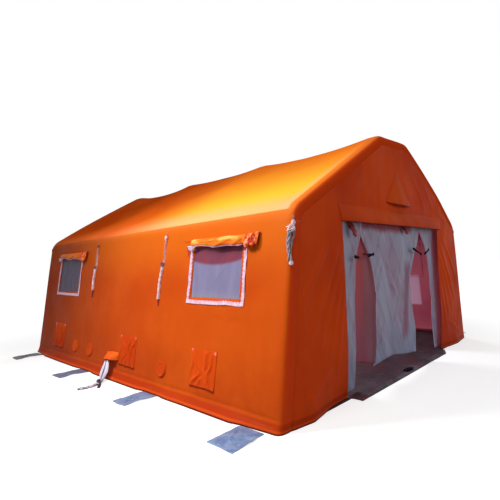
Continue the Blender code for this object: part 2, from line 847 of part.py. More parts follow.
def hank_line(lead, run):
    """(drop, across, out) along a cord that hangs from its loop and is wound into a hank below it.

    Each turn goes down the right, round the bottom, up the left and round the top. The turns step in
    by one cord, then out again in the next layer, and the waist draws them together.
    """
    layer_one = CORD_DIAMETER / 2 + GAP
    offset = HANK_HALF_WIDTH + CORD_STEP
    line = []
    for share in spread(0.0, 1.0, 8)[:-1]:
        line.append((GAP + lead * share, offset * smooth_step(share / 0.8), layer_one))
    per_turn = 24
    for index in range(round(HANK_TURNS * per_turn) + 1):
        turn = index / per_turn
        layer, part = divmod(turn, 1.0)
        stepped = 1 - part if layer % 2 == 0 else part
        extra = CORD_STEP * stepped
        climb = smooth_step(part / HANK_CLIMB) if layer else 1.0
        out = layer_one + CORD_STEP * (layer - 1 + climb if layer else 0.0)
        fold = 0.5 - HANK_RUN_SHARE
        if part <= HANK_RUN_SHARE or 0.5 < part <= 0.5 + HANK_RUN_SHARE:
            going_down = part <= HANK_RUN_SHARE
            along = (part if going_down else part - 0.5) / HANK_RUN_SHARE
            waist = smooth_step(along / 0.25) * smooth_step((1 - along) / 0.25)
            half = HANK_HALF_WIDTH * (1 - (1 - HANK_WAIST) * waist) + extra
            drop = along * run if going_down else (1 - along) * run
            line.append((lead + drop, half if going_down else -half, out))
        else:
            at_bottom = part < 0.5 + fold
            angle = math.pi * (part - HANK_RUN_SHARE - (0.0 if at_bottom else 0.5)) / fold
            half = HANK_HALF_WIDTH + extra
            across = half * math.cos(angle)
            reach = half * math.sin(angle)
            if at_bottom:
                line.append((lead + run + reach, across, out))
            else:
                line.append((lead - reach, -across, out))
    return line


def least_gap(line, diameter):
    """The least gap between stretches of a cord that are not neighbours along it."""
    points = [Vector(p) for p in line]
    lengths = [0.0]
    for a, b in zip(points, points[1:]):
        lengths.append(lengths[-1] + (b - a).length)
    least = 1.0
    for i, p in enumerate(points):
        for j in range(i + 1, len(points) - 1):
            if lengths[j] - lengths[i] < 4 * diameter:
                continue
            a, b = points[j], points[j + 1]
            share = min(1.0, max(0.0, (p - a).dot(b - a) / (b - a).length_squared))
            least = min(least, (a + (b - a) * share - p).length - diameter)
    return least


def corner_frame(side, y, end, turn):
    """The skin's foot point, its upward line and its outward direction beside an arch."""
    radius = CORNER_RADIUS * (math.cos(math.pi / 4 / WRAP_STEPS) if end else 1.0)
    inset = (CORNER_RADIUS - radius * math.cos(turn)) / math.cos(LEAN)
    foot = Vector((side * (BASE_WIDTH / 2 - inset), y + end * radius * math.sin(turn), 0.0))
    up = Vector((-side * math.sin(LEAN), 0.0, math.cos(LEAN)))
    flat = Vector((side * math.cos(LEAN), 0.0, math.sin(LEAN)))
    out = (flat * math.cos(turn) + Vector((0.0, end * math.sin(turn), 0.0))).normalized()
    return foot, up, out


def loop_frames():
    """A frame for each cord loop: one beside every arch on each side."""
    arches = arch_places()
    frames = []
    for side in (-1, 1):
        for index, y in enumerate(arches):
            end = -1 if index == 0 else 1 if index == len(arches) - 1 else 0
            turn = math.radians(CORNER_LOOP_TURN) if end else 0.0
            frames.append((side, index, corner_frame(side, y, end, turn)))
    return frames


def add_loop(wall, frame):
    """A webbing tab sewn on under the eave, joined to the wall."""
    foot, up, out = frame
    across = up.cross(out)
    rings = []
    for height in (LOOP_TOP - LOOP_LENGTH, LOOP_TOP):
        ring = []
        for width, lift in ((-0.5, -SKIN / 2), (0.5, -SKIN / 2), (0.5, LOOP_THICKNESS), (-0.5, LOOP_THICKNESS)):
            ring.append(foot + up * height + across * (width * LOOP_WIDTH) + out * lift)
        rings.append(ring)
    join_boolean(wall, add_rings("loop", rings, DEEP_ORANGE), "UNION")


def add_guy_line(name, frame, lead, run, tone):
    foot, up, out = frame
    across = up.cross(out)
    start = foot + up * (LOOP_TOP - LOOP_LENGTH)
    line = hank_line(lead, run)
    print(name, "least gap to itself, mm:", round(1000 * least_gap(line, CORD_DIAMETER), 2))
    route = [start - up * drop + across * width + out * lift for drop, width, lift in line]
    return add_cord(name, route, CORD_DIAMETER, 1, tone)


# Ground tabs


def add_tab(name, side, place, tone):
    """A strip of sheet lying on the ground from the foot of the wall."""
    hem = hem_flare(abs(place) - TAB_WIDTH / 2) / math.cos(LEAN)
    inner_edge = BASE_WIDTH / 2 + hem + GAP
    shares = (0.0, 0.3, 0.55, 0.8, 1.0)
    grids = []
    for top in (True, False):
        grid = []
        for share in shares:
            x = side * (inner_edge + (TAB_REACH - inner_edge) * share)
            wave = TAB_WAVE * (0.5 - 0.5 * math.cos(2 * math.pi * share))
            low = wave if share < 1.0 else 0.0
            line = [(x, place + width * TAB_WIDTH, low + (TAB if top else 0.0)) for width in (-0.5, 0.0, 0.5)]
            grid.append(line)
        grids.append(grid)
    return add_sheet(name, grids[0], grids[1], tone, (side * inner_edge, place, TAB))


# The whole tent


def add_floor(tone):
    """The ground sheet, with a sill that runs out under each door."""
    inset = (SKIN + GAP) / math.cos(LEAN)
    half = wall_x(FLOOR_SHEET) - inset
    wrap = CORNER_RADIUS
    sill = DOOR_WIDTH / 2 - SILL_MARGIN
    inner_y = GABLE_FACE - SKIN - GAP
    outline = []
    quarter = (
        (half, 0.0),
        (half, inner_y - wrap),
        (half - wrap, inner_y),
        (sill, inner_y),
        (sill, GABLE_FACE + SILL_REACH),
    )
    for sx, sy in ((1, 1), (-1, 1), (-1, -1), (1, -1)):
        corner = [(sx * x, sy * y) for x, y in quarter[1:]]
        outline += corner if sx * sy > 0 else corner[::-1]
    rings = [[(x, y, z) for x, y in outline] for z in (0.0, FLOOR_SHEET)]
    return add_rings("ground_sheet", rings, tone)


def add_wall(name, side, tone):
    wall = add_skin(name, [(side, row) for row in wall_rows()], tone)
    for place in (-WINDOW_OFFSET, WINDOW_OFFSET):
        rings = wall_box(side, window_range(place), (WINDOW_BOTTOM, WINDOW_TOP), (-0.05, 0.05))
        join_boolean(wall, add_rings("cutter", rings, tone), "DIFFERENCE")
    for loop_side, _, frame in loop_frames():
        if loop_side == side:
            add_loop(wall, frame)


def build():
    clear_scene()
    sides = ((-1, "left"), (1, "right"))
    ends = ((-1, "front"), (1, "rear"))
    arches = arch_places()
    for index, y in enumerate(arches):
        add_arch(f"air_arch_{index + 1}", y, ORANGE)
    for side, side_name in sides:
        for bay, (first, last) in enumerate(zip(arches, arches[1:])):
            add_spacer(f"eave_beam_{side_name}_{bay + 1}", side, first, last, ORANGE)
        add_wall(f"side_wall_{side_name}", side, ORANGE)
        add_skin(f"roof_{side_name}", [(side, row) for row in slope_rows()], ORANGE)
        for end, end_name in ends:
            where = f"{side_name}_{end_name}"
            place = end * WINDOW_OFFSET
            add_film(f"window_film_{where}", side, place, CLEAR_FILM)
            add_tape(f"window_tape_{where}", side, place, WHITE_TAPE)
            add_cover(f"window_cover_{where}", side, place, DEEP_ORANGE)
        for index, place in enumerate(TAB_PLACES):
            add_tab(f"ground_tab_{side_name}_{index + 1}", side, place, SILVER)
    top = [(-1, row) for row in top_rows()] + [(1, row) for row in reversed(top_rows()[:-1])]
    add_skin("roof_top", top, ORANGE)
    for end, end_name in ends:
        add_gable(f"gable_{end_name}", end, ORANGE)
        add_lintel(f"door_beam_{end_name}", end, ORANGE)
        add_vent_hood(f"vent_hood_{end_name}", end, DEEP_ORANGE)
    add_floor(GROUND_GREY)
    add_header(DEEP_ORANGE)
    add_rear_door(DEEP_ORANGE)
    add_curtains(WHITE_CLOTH)
    for index, place in enumerate(DUCT_PLACES):
        add_duct_flap(f"duct_port_flap_{index + 1}", place, DEEP_ORANGE)
    for index, place in enumerate(VALVE_PLACES):
        add_valve_cover(f"valve_cover_{index + 1}", place, DEEP_ORANGE)
    add_hood(DEEP_ORANGE)
    add_sleeve(WHITE_CLOTH)
    add_cord("sleeve_tie", smooth_route(tie_route(), 0.025), TIE_DIAMETER, 2, WHITE_TAPE)
    for side, index, frame in loop_frames():
        if side < 0 and index in HANKS:
            lead, run = HANKS[index]
            add_guy_line(f"guy_line_{index + 1}", frame, lead, run, WHITE_TAPE)


build()
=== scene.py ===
"""The looks of the inflatable decontamination tent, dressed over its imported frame.

Metres, +Z up, in the part's own frame: the front door faces -Y and the service ports are at -X.
"""

import math

import bpy
import numpy as np
from mathutils import Matrix, Vector


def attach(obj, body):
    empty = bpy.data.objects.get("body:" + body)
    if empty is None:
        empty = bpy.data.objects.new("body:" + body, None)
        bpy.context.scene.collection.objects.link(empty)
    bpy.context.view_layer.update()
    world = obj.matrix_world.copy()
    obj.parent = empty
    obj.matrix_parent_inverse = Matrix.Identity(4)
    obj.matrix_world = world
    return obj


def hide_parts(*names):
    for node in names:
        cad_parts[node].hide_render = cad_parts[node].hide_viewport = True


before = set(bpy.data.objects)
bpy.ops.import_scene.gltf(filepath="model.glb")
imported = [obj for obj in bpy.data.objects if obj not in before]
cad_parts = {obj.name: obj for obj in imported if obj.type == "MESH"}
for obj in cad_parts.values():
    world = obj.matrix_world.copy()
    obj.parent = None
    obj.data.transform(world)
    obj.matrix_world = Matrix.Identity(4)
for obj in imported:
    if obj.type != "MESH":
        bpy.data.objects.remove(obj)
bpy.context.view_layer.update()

# Sizes of the part, as in its source. Only the bays sag less here, as the photograph shows.
BASE_WIDTH = 5.20
EAVE_WIDTH = 4.566
EAVE_HEIGHT = 2.016
RIDGE_HEIGHT = 3.08
TOP_WIDTH = 0.78
LENGTH = 5.95
SKIN = 0.003
BEND_RADIUS = 0.27
HEM_HEIGHT = 0.12
HEM_FLARE = 0.07
HEM_CORNER_FLARE = 0.03
HEM_RUN_OUT = 0.45
BAY_SAGS = (0.050, 0.036, 0.062)
BEAM_DIAMETER = 0.25
SPACER_DIAMETER = 0.20
LINTEL_DIAMETER = 0.15
BAYS = 3
GAP = 0.0003
FLOOR_SHEET = 0.003
SILL_REACH = 0.128
SILL_MARGIN = 0.02
DOOR_WIDTH = 2.88
DOOR_HEIGHT = 1.93
REAR_DOOR_LAP = 0.04
REAR_DOOR_CLEARANCE = 0.012
REAR_DOOR_BULGE = 0.02
HEADER_WIDTH = 3.12
HEADER_TOP = 2.10
HEADER_BOTTOM = 1.907
HEADER_STAND = 0.06
HEADER_RETURN = 0.10
VENT_WIDTH = 0.78
VENT_APEX = 2.65
VENT_BASE = 2.20
VENT_STAND = 0.08
VENT_DROOP = 0.02
CURTAIN_TOP_GAP = 0.0009
CURTAIN_SPLIT = 0.54
CURTAIN_LAP = 0.16
CURTAIN_FLOOR_CLEARANCE = 0.03
MIDDLE_HEM_RISE = 0.14
LEFT_SLIT = (
    (0.0, 0.0, 0.0),
    (0.16, 0.0, 0.0),
    (0.42, 0.09, 0.17),
    (0.93, 0.18, 0.29),
    (1.50, 0.20, 0.26),
    (1.93, 0.27, 0.14),
)
RIGHT_SLIT = (
    (0.0, 0.0, 0.0),
    (0.05, 0.0, 0.0),
    (0.18, 0.10, 0.06),
    (0.42, 0.27, 0.22),
    (0.75, 0.34, 0.37),
    (1.05, 0.35, 0.37),
    (1.50, 0.38, 0.29),
    (1.93, 0.46, 0.34),
)
WINDOW_OFFSET = 1.94
WINDOW_WIDTH = 0.79
WINDOW_HEIGHT = 0.575
WINDOW_DROP = 0.185
FILM = 0.002
FILM_LAP = 0.03
TAPE_WIDTH = 0.045
TAPE_MARGIN = 0.025
COVER_LENGTH = 1.20
COVER_DEPTH = 0.085
COVER_DROP = 0.085
COVER_DROOP = 0.05
DUCT_PLACES = (-1.86, -0.28, 2.04)
DUCT_WIDTH = 0.42
DUCT_DROP = 0.40
DUCT_TOP = 0.595
FLAP = 0.003
VALVE_PLACES = (-1.09, 0.84, 1.36)
VALVE_DIAMETER = 0.20
VALVE_HEIGHT = 0.28
VALVE_DOME = 0.012
HOOD_PLACE = 0.11
HOOD_WIDTH = 0.34
HOOD_TOP = 0.345
HOOD_DROP = 0.085
HOOD_STAND = 0.10
HOOD_RETURN = 0.09
SLEEVE_ROUTE = (
    (0.184, 0.285, 0.0003, 0.100, 0.0),
    (0.182, 0.276, 0.030, 0.104, 0.0),
    (0.176, 0.245, 0.0515, 0.106, 3.0),
    (0.150, 0.176, 0.073, 0.106, 10.0),
    (0.095, 0.103, 0.117, 0.096, 22.0),
    (0.030, 0.0445, 0.169, 0.076, 34.0),
    (-0.028, 0.003, 0.213, 0.056, 38.0),
    (-0.065, -0.0162, 0.2555, 0.044, 39.0),
)
SLEEVE_THICKNESS = 0.034
TIE_DIAMETER = 0.012
TIE_ROUTE = (
    (0.0002, -0.0002, 1.0),
    (0.020, -0.0165, 0.68),
    (0.050, -0.040, 0.16),
    (0.100, -0.064, 0.0),
    (0.165, -0.074, 0.0),
    (0.235, -0.063, 0.0),
    (0.305, -0.043, 0.0),
)
TAB_PLACES = (-2.68, -1.02, 0.755, 2.655)
TAB_WIDTH = 0.29
TAB_REACH = 3.10
TAB_WAVE = 0.006
LOOP_WIDTH = 0.030
LOOP_LENGTH = 0.055
LOOP_RISE = 0.045
CORNER_LOOP_TURN = 45.0
CORD_DIAMETER = 0.006
CORD_STEP = 0.0072
HANK_HALF_WIDTH = 0.018
HANK_WAIST = 0.2
HANK_TURNS = 3.41
HANK_RUN_SHARE = 0.41
HANK_CLIMB = 0.15
HANKS = {0: (0.13, 0.29), 1: (0.36, 0.42), 2: (0.36, 0.34)}

LEAN = math.atan((BASE_WIDTH - EAVE_WIDTH) / 2 / EAVE_HEIGHT)
SLOPE = math.atan((RIDGE_HEIGHT - EAVE_HEIGHT) / ((EAVE_WIDTH - TOP_WIDTH) / 2))
ROOF_TILT = math.pi / 2 - SLOPE
BEAM_INSET = SKIN + GAP + BEAM_DIAMETER / 2
CORNER_RADIUS = BEAM_INSET
END_ARCH_Y = LENGTH / 2 - CORNER_RADIUS
GABLE_FACE = LENGTH / 2
ARCH_FLAT = 0.05
CORNER_FULLNESS = 4.5
LINTEL_Y = GABLE_FACE - SKIN - GAP - LINTEL_DIAMETER / 2
LINTEL_Z = DOOR_HEIGHT + LINTEL_DIAMETER / 2
CURTAIN_TOP = DOOR_HEIGHT - CURTAIN_TOP_GAP


def bend_centre(corner, first_tilt, last_tilt):
    middle = (first_tilt + last_tilt) / 2
    reach = BEND_RADIUS / math.cos((last_tilt - first_tilt) / 2)
    return corner[0] - reach * math.cos(middle), corner[1] - reach * math.sin(middle)


EAVE_CENTRE = bend_centre((EAVE_WIDTH / 2, EAVE_HEIGHT), LEAN, ROOF_TILT)
RIDGE_CENTRE = bend_centre((TOP_WIDTH / 2, RIDGE_HEIGHT), ROOF_TILT, math.pi / 2)
EAVE_START_Z = EAVE_CENTRE[1] + BEND_RADIUS * math.sin(LEAN)
BEND_START = EAVE_START_Z / math.cos(LEAN)
WINDOW_TOP = BEND_START - WINDOW_DROP
WINDOW_BOTTOM = WINDOW_TOP - WINDOW_HEIGHT
COVER_TOP = BEND_START - COVER_DROP
LOOP_TOP = BEND_START + LOOP_RISE
EAVE_SEAM = (LEAN + ROOF_TILT) / 2
RIDGE_SEAM = (ROOF_TILT + math.pi / 2) / 2
SEAM_TURN = GAP / 2 / (BEND_RADIUS - CORNER_RADIUS)
ARCHES = [-END_ARCH_Y + 2 * END_ARCH_Y * i / BAYS for i in range(BAYS + 1)]

SIDES = ((-1, "left"), (1, "right"))
ENDS = ((-1, "front"), (1, "rear"))

# Thicknesses of drawn cloth
CLOTH = 0.0018
THIN_CLOTH = 0.0012
EDGING = 0.0014
HEAVY_CLOTH = 0.0024

# The scale of a wave texture with one wave to the metre: at a scale of 1 it runs 20 radians to the metre
WAVE_TURN = 2 * math.pi / 20

# Camera, fitted to the photograph
CAMERA_PLACE = (-5.244, -5.220, 1.498)
CAMERA_YAW = 0.8067
CAMERA_PITCH = 0.0327
CAMERA_ROLL = -0.0416
CAMERA_LENS = 28.654


# Camera and lamps


def add(name, data):
    obj = bpy.data.objects.new(name, data)
    bpy.context.scene.collection.objects.link(obj)
    return obj


def add_camera():
    across = Vector((math.cos(CAMERA_YAW), -math.sin(CAMERA_YAW), 0.0))
    level = math.cos(CAMERA_PITCH)
    ahead = Vector((math.sin(CAMERA_YAW) * level, math.cos(CAMERA_YAW) * level, math.sin(CAMERA_PITCH)))
    up = across.cross(ahead)
    right = across * math.cos(CAMERA_ROLL) + up * math.sin(CAMERA_ROLL)
    top = up * math.cos(CAMERA_ROLL) - across * math.sin(CAMERA_ROLL)
    turn = Matrix((right, top, -ahead)).transposed().to_4x4()
    data = bpy.data.cameras.new("camera")
    data.lens = CAMERA_LENS
    data.sensor_width = 36.0
    camera = add("camera", data)
    camera.matrix_world = Matrix.Translation(CAMERA_PLACE) @ turn
    bpy.context.scene.camera = camera


def add_lamp(name, place, target, size, power, tone=(1.0, 1.0, 1.0), cone=0.0):
    data = bpy.data.lights.new(name, "SPOT" if cone else "AREA")
    if cone:
        data.spot_size = math.radians(cone)
        data.spot_blend = 1.0
        data.shadow_soft_size = size / 2
    else:
        data.shape = "DISK"
        data.size = size
    data.energy = power
    data.color = tone
    lamp = add(name, data)
    lamp.location = place
    lamp.rotation_euler = (Vector(target) - Vector(place)).to_track_quat("-Z", "Y").to_euler()


# Soft shapes and noise


def smooth(t):
    t = np.clip(t, 0.0, 1.0)
    return t * t * (3 - 2 * t)


def lattice(i, j, seed):
    n = (i * 374761393 + j * 668265263 + seed * 974634777) & 0xFFFFFFFF
    n = ((n ^ (n >> 13)) * 1274126177) & 0xFFFFFFFF
    return ((n ^ (n >> 16)) & 0xFFFF) / 65535.0


def ripple(u, v, seed=0):
    """Smooth noise from -1 to 1 on a plane, with features about one unit wide."""
    u, v = np.broadcast_arrays(np.asarray(u, float), np.asarray(v, float))
    i, j = np.floor(u).astype(np.int64), np.floor(v).astype(np.int64)
    s, t = smooth(u - i), smooth(v - j)
    low = lattice(i, j, seed) * (1 - s) + lattice(i + 1, j, seed) * s
    high = lattice(i, j + 1, seed) * (1 - s) + lattice(i + 1, j + 1, seed) * s
    return 2 * (low * (1 - t) + high * t) - 1


def bell(away, width):
    return np.exp(-((away / width) ** 2))


def beside(u, v, start, end, rim):
    """The distance from the line between two points, and a strength that fades towards both of them."""
    along = (end[0] - start[0], end[1] - start[1])
    share = ((u - start[0]) * along[0] + (v - start[1]) * along[1]) / (along[0] ** 2 + along[1] ** 2)
    share = np.clip(share, 0.0, 1.0)
    away = np.hypot(u - start[0] - share * along[0], v - start[1] - share * along[1])
    return away, np.sqrt(np.sin(np.pi * np.clip(share, rim, 1 - rim)))


def fold(u, v, start, end, width, height):
    """A crease from start to end: a soft ridge that fades out at both ends."""
    away, strength = beside(u, v, start, end, 0.01)
    return height * bell(away, width) * strength


def crease(u, v, start, end, width, height):
    """A sharp fold from start to end that fades at both ends."""
    away, strength = beside(u, v, start, end, 0.02)
    return height * np.maximum(0.0, 1 - away / width) ** 1.4 * strength


def steps_between(breaks, step):
    line = [breaks[0]]
    for a, b in zip(breaks, breaks[1:]):
        count = max(1, math.ceil(abs(b - a) / step - 1e-9))
        line += [a + (b - a) * i / count for i in range(1, count + 1)]
    return np.array(line)


def outside(u, v, box, soft):
    """1 away from a box (u range, v range), falling to 0 in it."""
    du = np.maximum(np.maximum(box[0] - u, u - box[1]), 0.0)
    dv = np.maximum(np.maximum(box[2] - v, v - box[3]), 0.0)
    return smooth(np.hypot(du, dv) / soft)


def stack(*parts):
    return np.stack(np.broadcast_arrays(*parts), -1)


def across_grid(grid):
    """Unit normals of a grid of points."""
    rise = np.gradient(grid, axis=0)
    run = np.gradient(grid, axis=1)
    normal = np.cross(run, rise)
    return normal / np.maximum(np.linalg.norm(normal, axis=-1, keepdims=True), 1e-12)


def facing(grid, away):
    """1 or -1: whether the grid's normals point away."""
    normal = across_grid(grid)
    if away is None:
        away = grid - np.array((0.0, float(grid[..., 1].mean()), 1.0))
    return 1.0 if float((normal * np.asarray(away)).sum()) > 0 else -1.0


def push_out(grid, amount, away):
    return grid + across_grid(grid) * facing(grid, away) * np.asarray(amount)[..., None]


# Meshes


def add_object(name, points, faces, materials, uv=None, tones=None):
    mesh = bpy.data.meshes.new(name)
    mesh.from_pydata(np.asarray(points).tolist(), [], [list(map(int, f)) for f in faces])
    mesh.shade_smooth()
    if uv is not None:
        layer = mesh.uv_layers.new(name="UVMap")
        corners = np.zeros(len(mesh.loops), np.int32)
        mesh.loops.foreach_get("vertex_index", corners)
        layer.data.foreach_set("uv", np.asarray(uv, np.float32)[corners].ravel())
    for material in materials:
        mesh.materials.append(material)
    if tones is not None:
        mesh.polygons.foreach_set("material_index", np.asarray(tones, np.int32))
    return add(name, mesh)


def lengths_along(grid, axis):
    step = np.linalg.norm(np.diff(grid, axis=axis), axis=-1)
    middle = step.mean(axis=1 - axis)
    return np.concatenate(([0.0], np.cumsum(middle)))


def add_grid(name, grid, materials, away=None, keep=None, tones=None):
    """A sheet over a grid of points. Keep and tones are given face by face."""
    rows, columns = grid.shape[:2]
    i, j = np.meshgrid(np.arange(rows - 1), np.arange(columns - 1), indexing="ij")
    a = i * columns + j
    quads = np.stack((a, a + 1, a + columns + 1, a + columns), -1)
    if facing(grid, away) < 0:
        quads = quads[..., ::-1]
    chosen = np.ones((rows - 1, columns - 1), bool) if keep is None else keep
    quads = quads[chosen]
    v, u = np.meshgrid(lengths_along(grid, 0), lengths_along(grid, 1), indexing="ij")
    used, index = np.unique(quads, return_inverse=True)
    faces = index.reshape(quads.shape)
    flat = grid.reshape(-1, 3)[used]
    uv = np.stack((u, v), -1).reshape(-1, 2)[used]
    picked = None if tones is None else np.broadcast_to(tones, chosen.shape)[chosen]
    return add_object(name, flat, faces, materials, uv, picked)


def ring_faces(count, sides, base):
    """Faces between rings of points, which are numbered from a base up."""
    faces = []
    for i in range(count - 1):
        for j in range(sides):
            near, far = base + i * sides, base + (i + 1) * sides
            faces.append((near + j, near + (j + 1) % sides, far + (j + 1) % sides, far + j))
    return faces


def add_tube(name, rings, materials):
    """A tube through rings, given as an array (rings, points around, 3)."""
    rings = np.asarray(rings, float)
    count, sides = rings.shape[:2]
    faces = ring_faces(count, sides, 0)
    faces += [tuple(reversed(range(sides))), tuple(range((count - 1) * sides, count * sides))]
    centre = rings.mean(axis=1)
    along = np.concatenate(([0.0], np.cumsum(np.linalg.norm(np.diff(centre, axis=0), axis=1))))
    girth = np.linalg.norm(rings[count // 2] - np.roll(rings[count // 2], 1, axis=0), axis=1).sum()
    u, v = np.meshgrid(np.arange(sides) / sides * girth, along)
    obj = add_object(name, rings.reshape(-1, 3), faces, materials, np.stack((u, v), -1).reshape(-1, 2))
    mesh = obj.data
    volume = 0.0
    for face in mesh.polygons:
        p = [mesh.vertices[k].co for k in face.vertices]
        for b, c in zip(p[1:], p[2:]):
            volume += p[0].dot(b.cross(c))
    if volume < 0:
        mesh.flip_normals()
    return obj


def thicken(obj, thickness, inner=0, offset=-1.0):
    modifier = obj.modifiers.new("thickness", "SOLIDIFY")
    modifier.thickness = thickness
    modifier.offset = offset
    modifier.material_offset = inner
    modifier.use_even_offset = False
    return obj


def dress(obj, body, slot, *nodes):
    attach(obj, body)
    if nodes:
        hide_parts(*nodes)
    return obj


def add_piece(name, grid, materials, away, thickness, body, slot, *nodes, keep=None, tones=None, inner=0, offset=-1.0):
    """A piece of cloth over a grid of points, with its thickness and its place in the frame."""
    cloth = add_grid(name, grid, materials, away, keep, tones)
    return dress(thicken(cloth, thickness, inner, offset), body, slot, *nodes)


# Materials


def linear(tone):
    """A colour of a picture, 0 to 255, as the light that it stands for. Other colours stay as they are."""
    if hasattr(tone, "is_linked") or len(tone) == 4:
        return tone
    parts = [c / 255 for c in tone]
    return tuple(c / 12.92 if c <= 0.04045 else ((c + 0.055) / 1.055) ** 2.4 for c in parts) + (1.0,)


class Nodes:
    """The nodes of a material or world, added step by step."""

    def __init__(self, owner):
        owner.use_nodes = True
        self.tree = owner.node_tree

    def put(self, node, socket, value):
        if hasattr(value, "is_linked"):
            self.tree.links.new(value, node.inputs[socket])
        else:
            node.inputs[socket].default_value = value

    def node(self, kind, inputs=None, **settings):
        made = self.tree.nodes.new("ShaderNode" + kind)
        for name, value in settings.items():
            setattr(made, name, value)
        for socket, value in (inputs or {}).items():
            self.put(made, socket, value)
        return made

    def seen(self):
        """1 for the camera's rays and for those that shiny or clear surfaces pass on."""
        path = self.node("LightPath").outputs
        share = path["Is Camera Ray"]
        for ray in ("Is Glossy Ray", "Is Transmission Ray"):
            share = self.node("Math", {0: share, 1: path[ray]}, operation="MAXIMUM").outputs[0]
        return share

    def blend(self, share, first, second):
        return self.node("MixShader", {0: share, 1: first.outputs[0], 2: second.outputs[0]})


class Look(Nodes):
    """A material around one Principled shader, with a colour that tint after tint is laid on."""

    def __init__(self, name, rough, coat=0.0, sheen=0.0, level=0.5):
        self.material = bpy.data.materials.new(name)
        super().__init__(self.material)
        self.shader = self.tree.nodes["Principled BSDF"]
        values = {"Roughness": rough, "Specular IOR Level": level}
        if coat:
            values |= {"Coat Weight": coat, "Coat Roughness": 0.35}
        if sheen:
            values |= {"Sheen Weight": sheen, "Sheen Roughness": 0.5}
        for socket, value in values.items():
            self.put(self.shader, socket, value)
        self.coordinates = self.node("TexCoord").outputs
        self.colour = None

    def noise(self, scale, detail=3.0, stretch=(1.0, 1.0, 1.0)):
        place = self.node("Mapping", {"Vector": self.coordinates["Object"], "Scale": stretch})
        inputs = {"Vector": place.outputs["Vector"], "Scale": scale, "Detail": detail}
        return self.node("TexNoise", inputs).outputs["Fac"]

    def slanted(self, scale, lean, length):
        """Long streaks in an upright plane, which lean by an angle."""
        turned = {"Vector": self.coordinates["Object"], "Rotation": (0.0, lean, 0.0), "Scale": (1.0, 1.0, length)}
        place = self.node("Mapping", turned, vector_type="TEXTURE")
        inputs = {"Vector": place.outputs["Vector"], "Scale": scale, "Detail": 2.0}
        return self.node("TexNoise", inputs).outputs["Fac"]

    def ramp(self, value, low, high, first=0.0, last=1.0, kind="SMOOTHSTEP"):
        """A number that goes from first to last while the value goes from low to high."""
        inputs = {"Value": value, "From Min": low, "From Max": high, "To Min": first, "To Max": last}
        return self.node("MapRange", inputs, interpolation_type=kind).outputs["Result"]

    def band(self, axis, low, high, first=0.0, last=1.0, kind="SMOOTHSTEP", source="Object"):
        return self.ramp(self.axis(axis, source), low, high, first, last, kind)

    def mottle(self, scale, detail, low, high, first=0.0, last=1.0, stretch=(1.0, 1.0, 1.0)):
        return self.ramp(self.noise(scale, detail, stretch), low, high, first, last)

    def axis(self, name, source="Object"):
        return self.node("SeparateXYZ", {"Vector": self.coordinates[source]}).outputs[name]

    def math(self, operation, value, *others):
        for other in others:
            value = self.node("Math", {0: value, 1: other}, operation=operation).outputs[0]
        return value

    def times(self, value, *others):
        return self.math("MULTIPLY", value, *others)

    def apart(self, value, middle):
        """How far a value is from a middle one."""
        return self.math("ABSOLUTE", self.math("SUBTRACT", value, middle), 0.0)

    def mix(self, share, first, second):
        inputs = {0: share, 6: linear(first), 7: linear(second)}
        return self.node("Mix", inputs, data_type="RGBA").outputs[2]

    def start(self, share, first, second):
        self.colour = self.mix(share, first, second)

    def tint(self, share, tone):
        self.colour = self.mix(share, self.colour, tone)

    def bands(self, direction, scale, source="UV"):
        inputs = {"Vector": self.coordinates[source], "Scale": scale}
        return self.node("TexWave", inputs, wave_type="BANDS", bands_direction=direction).outputs["Fac"]

    def weave(self, pitch):
        """Threads both ways at a pitch in metres, from the sheet's own flat coordinates."""
        return self.times(*(self.bands(direction, WAVE_TURN / pitch) for direction in "XY"))

    def bump(self, height, strength, distance, below=None):
        inputs = {"Height": height, "Strength": strength, "Distance": distance}
        if below is not None:
            inputs["Normal"] = below
        return self.node("Bump", inputs).outputs["Normal"]

    def finish(self, normal, glow=0.0, clear=0.0):
        """Join it up, with a share of light let through (glow) or of the view behind (clear)."""
        self.put(self.shader, "Base Color", self.colour)
        self.put(self.shader, "Normal", normal)
        surface = self.shader
        if glow:
            surface = self.blend(glow, surface, self.node("BsdfTranslucent", {"Color": self.colour}))
        if clear:
            surface = self.blend(clear, surface, self.node("BsdfTransparent"))
        self.put(self.tree.nodes["Material Output"], "Surface", surface.outputs[0])
        return self.material


def coated_cloth(name, tone, shade, glow=0.12, extra_tints=None, dust_and_painted_hem=True, level=0.03):
    """Coated woven cloth: mottled, faintly streaked, dusty at the foot, with painted shade and a painted highlight on
    the hem's roll and a painted shadow under it, and a fine weave under the coat.
    """
    look = Look(name, 0.5, level=level)
    look.start(look.mottle(0.9, 4.0, 0.36, 0.66), tone, shade)
    look.tint(look.mottle(5.0, 3.0, 0.42, 0.72, 0.0, 0.22, (1.0, 1.0, 0.12)), shade)
    if extra_tints is not None:
        extra_tints(look)
    if dust_and_painted_hem:
        height = look.math("ADD", look.axis("Z"), look.times(look.noise(3.0, 3.0), 0.03))
        look.tint(look.times(look.band("Z", 0.1, 0.6, 0.35, 0.0), look.mottle(6.0, 5.0, 0.3, 0.7)), (176, 62, 22))
        # Painted light on the hem: painted shade over the band, a painted highlight low on its roll, and a painted
        # shadow at the ground.
        look.tint(look.ramp(height, 0.080, 0.110, 0.65, 0.0), (168, 42, 12))
        look.tint(look.band("Z", 0.028, 0.038, 0.85, 0.0), (214, 78, 24))
        look.tint(look.band("Z", 0.008, 0.016, 0.9, 0.0), (80, 22, 18))
    look.put(look.shader, "Roughness", look.mottle(3.0, 4.0, 0.3, 0.7, 0.44, 0.58))
    puckers = look.bump(look.noise(7.0, 4.0), 0.4, 0.006)
    return look.finish(look.bump(look.weave(0.0024), 0.12, 0.0003, puckers), glow)


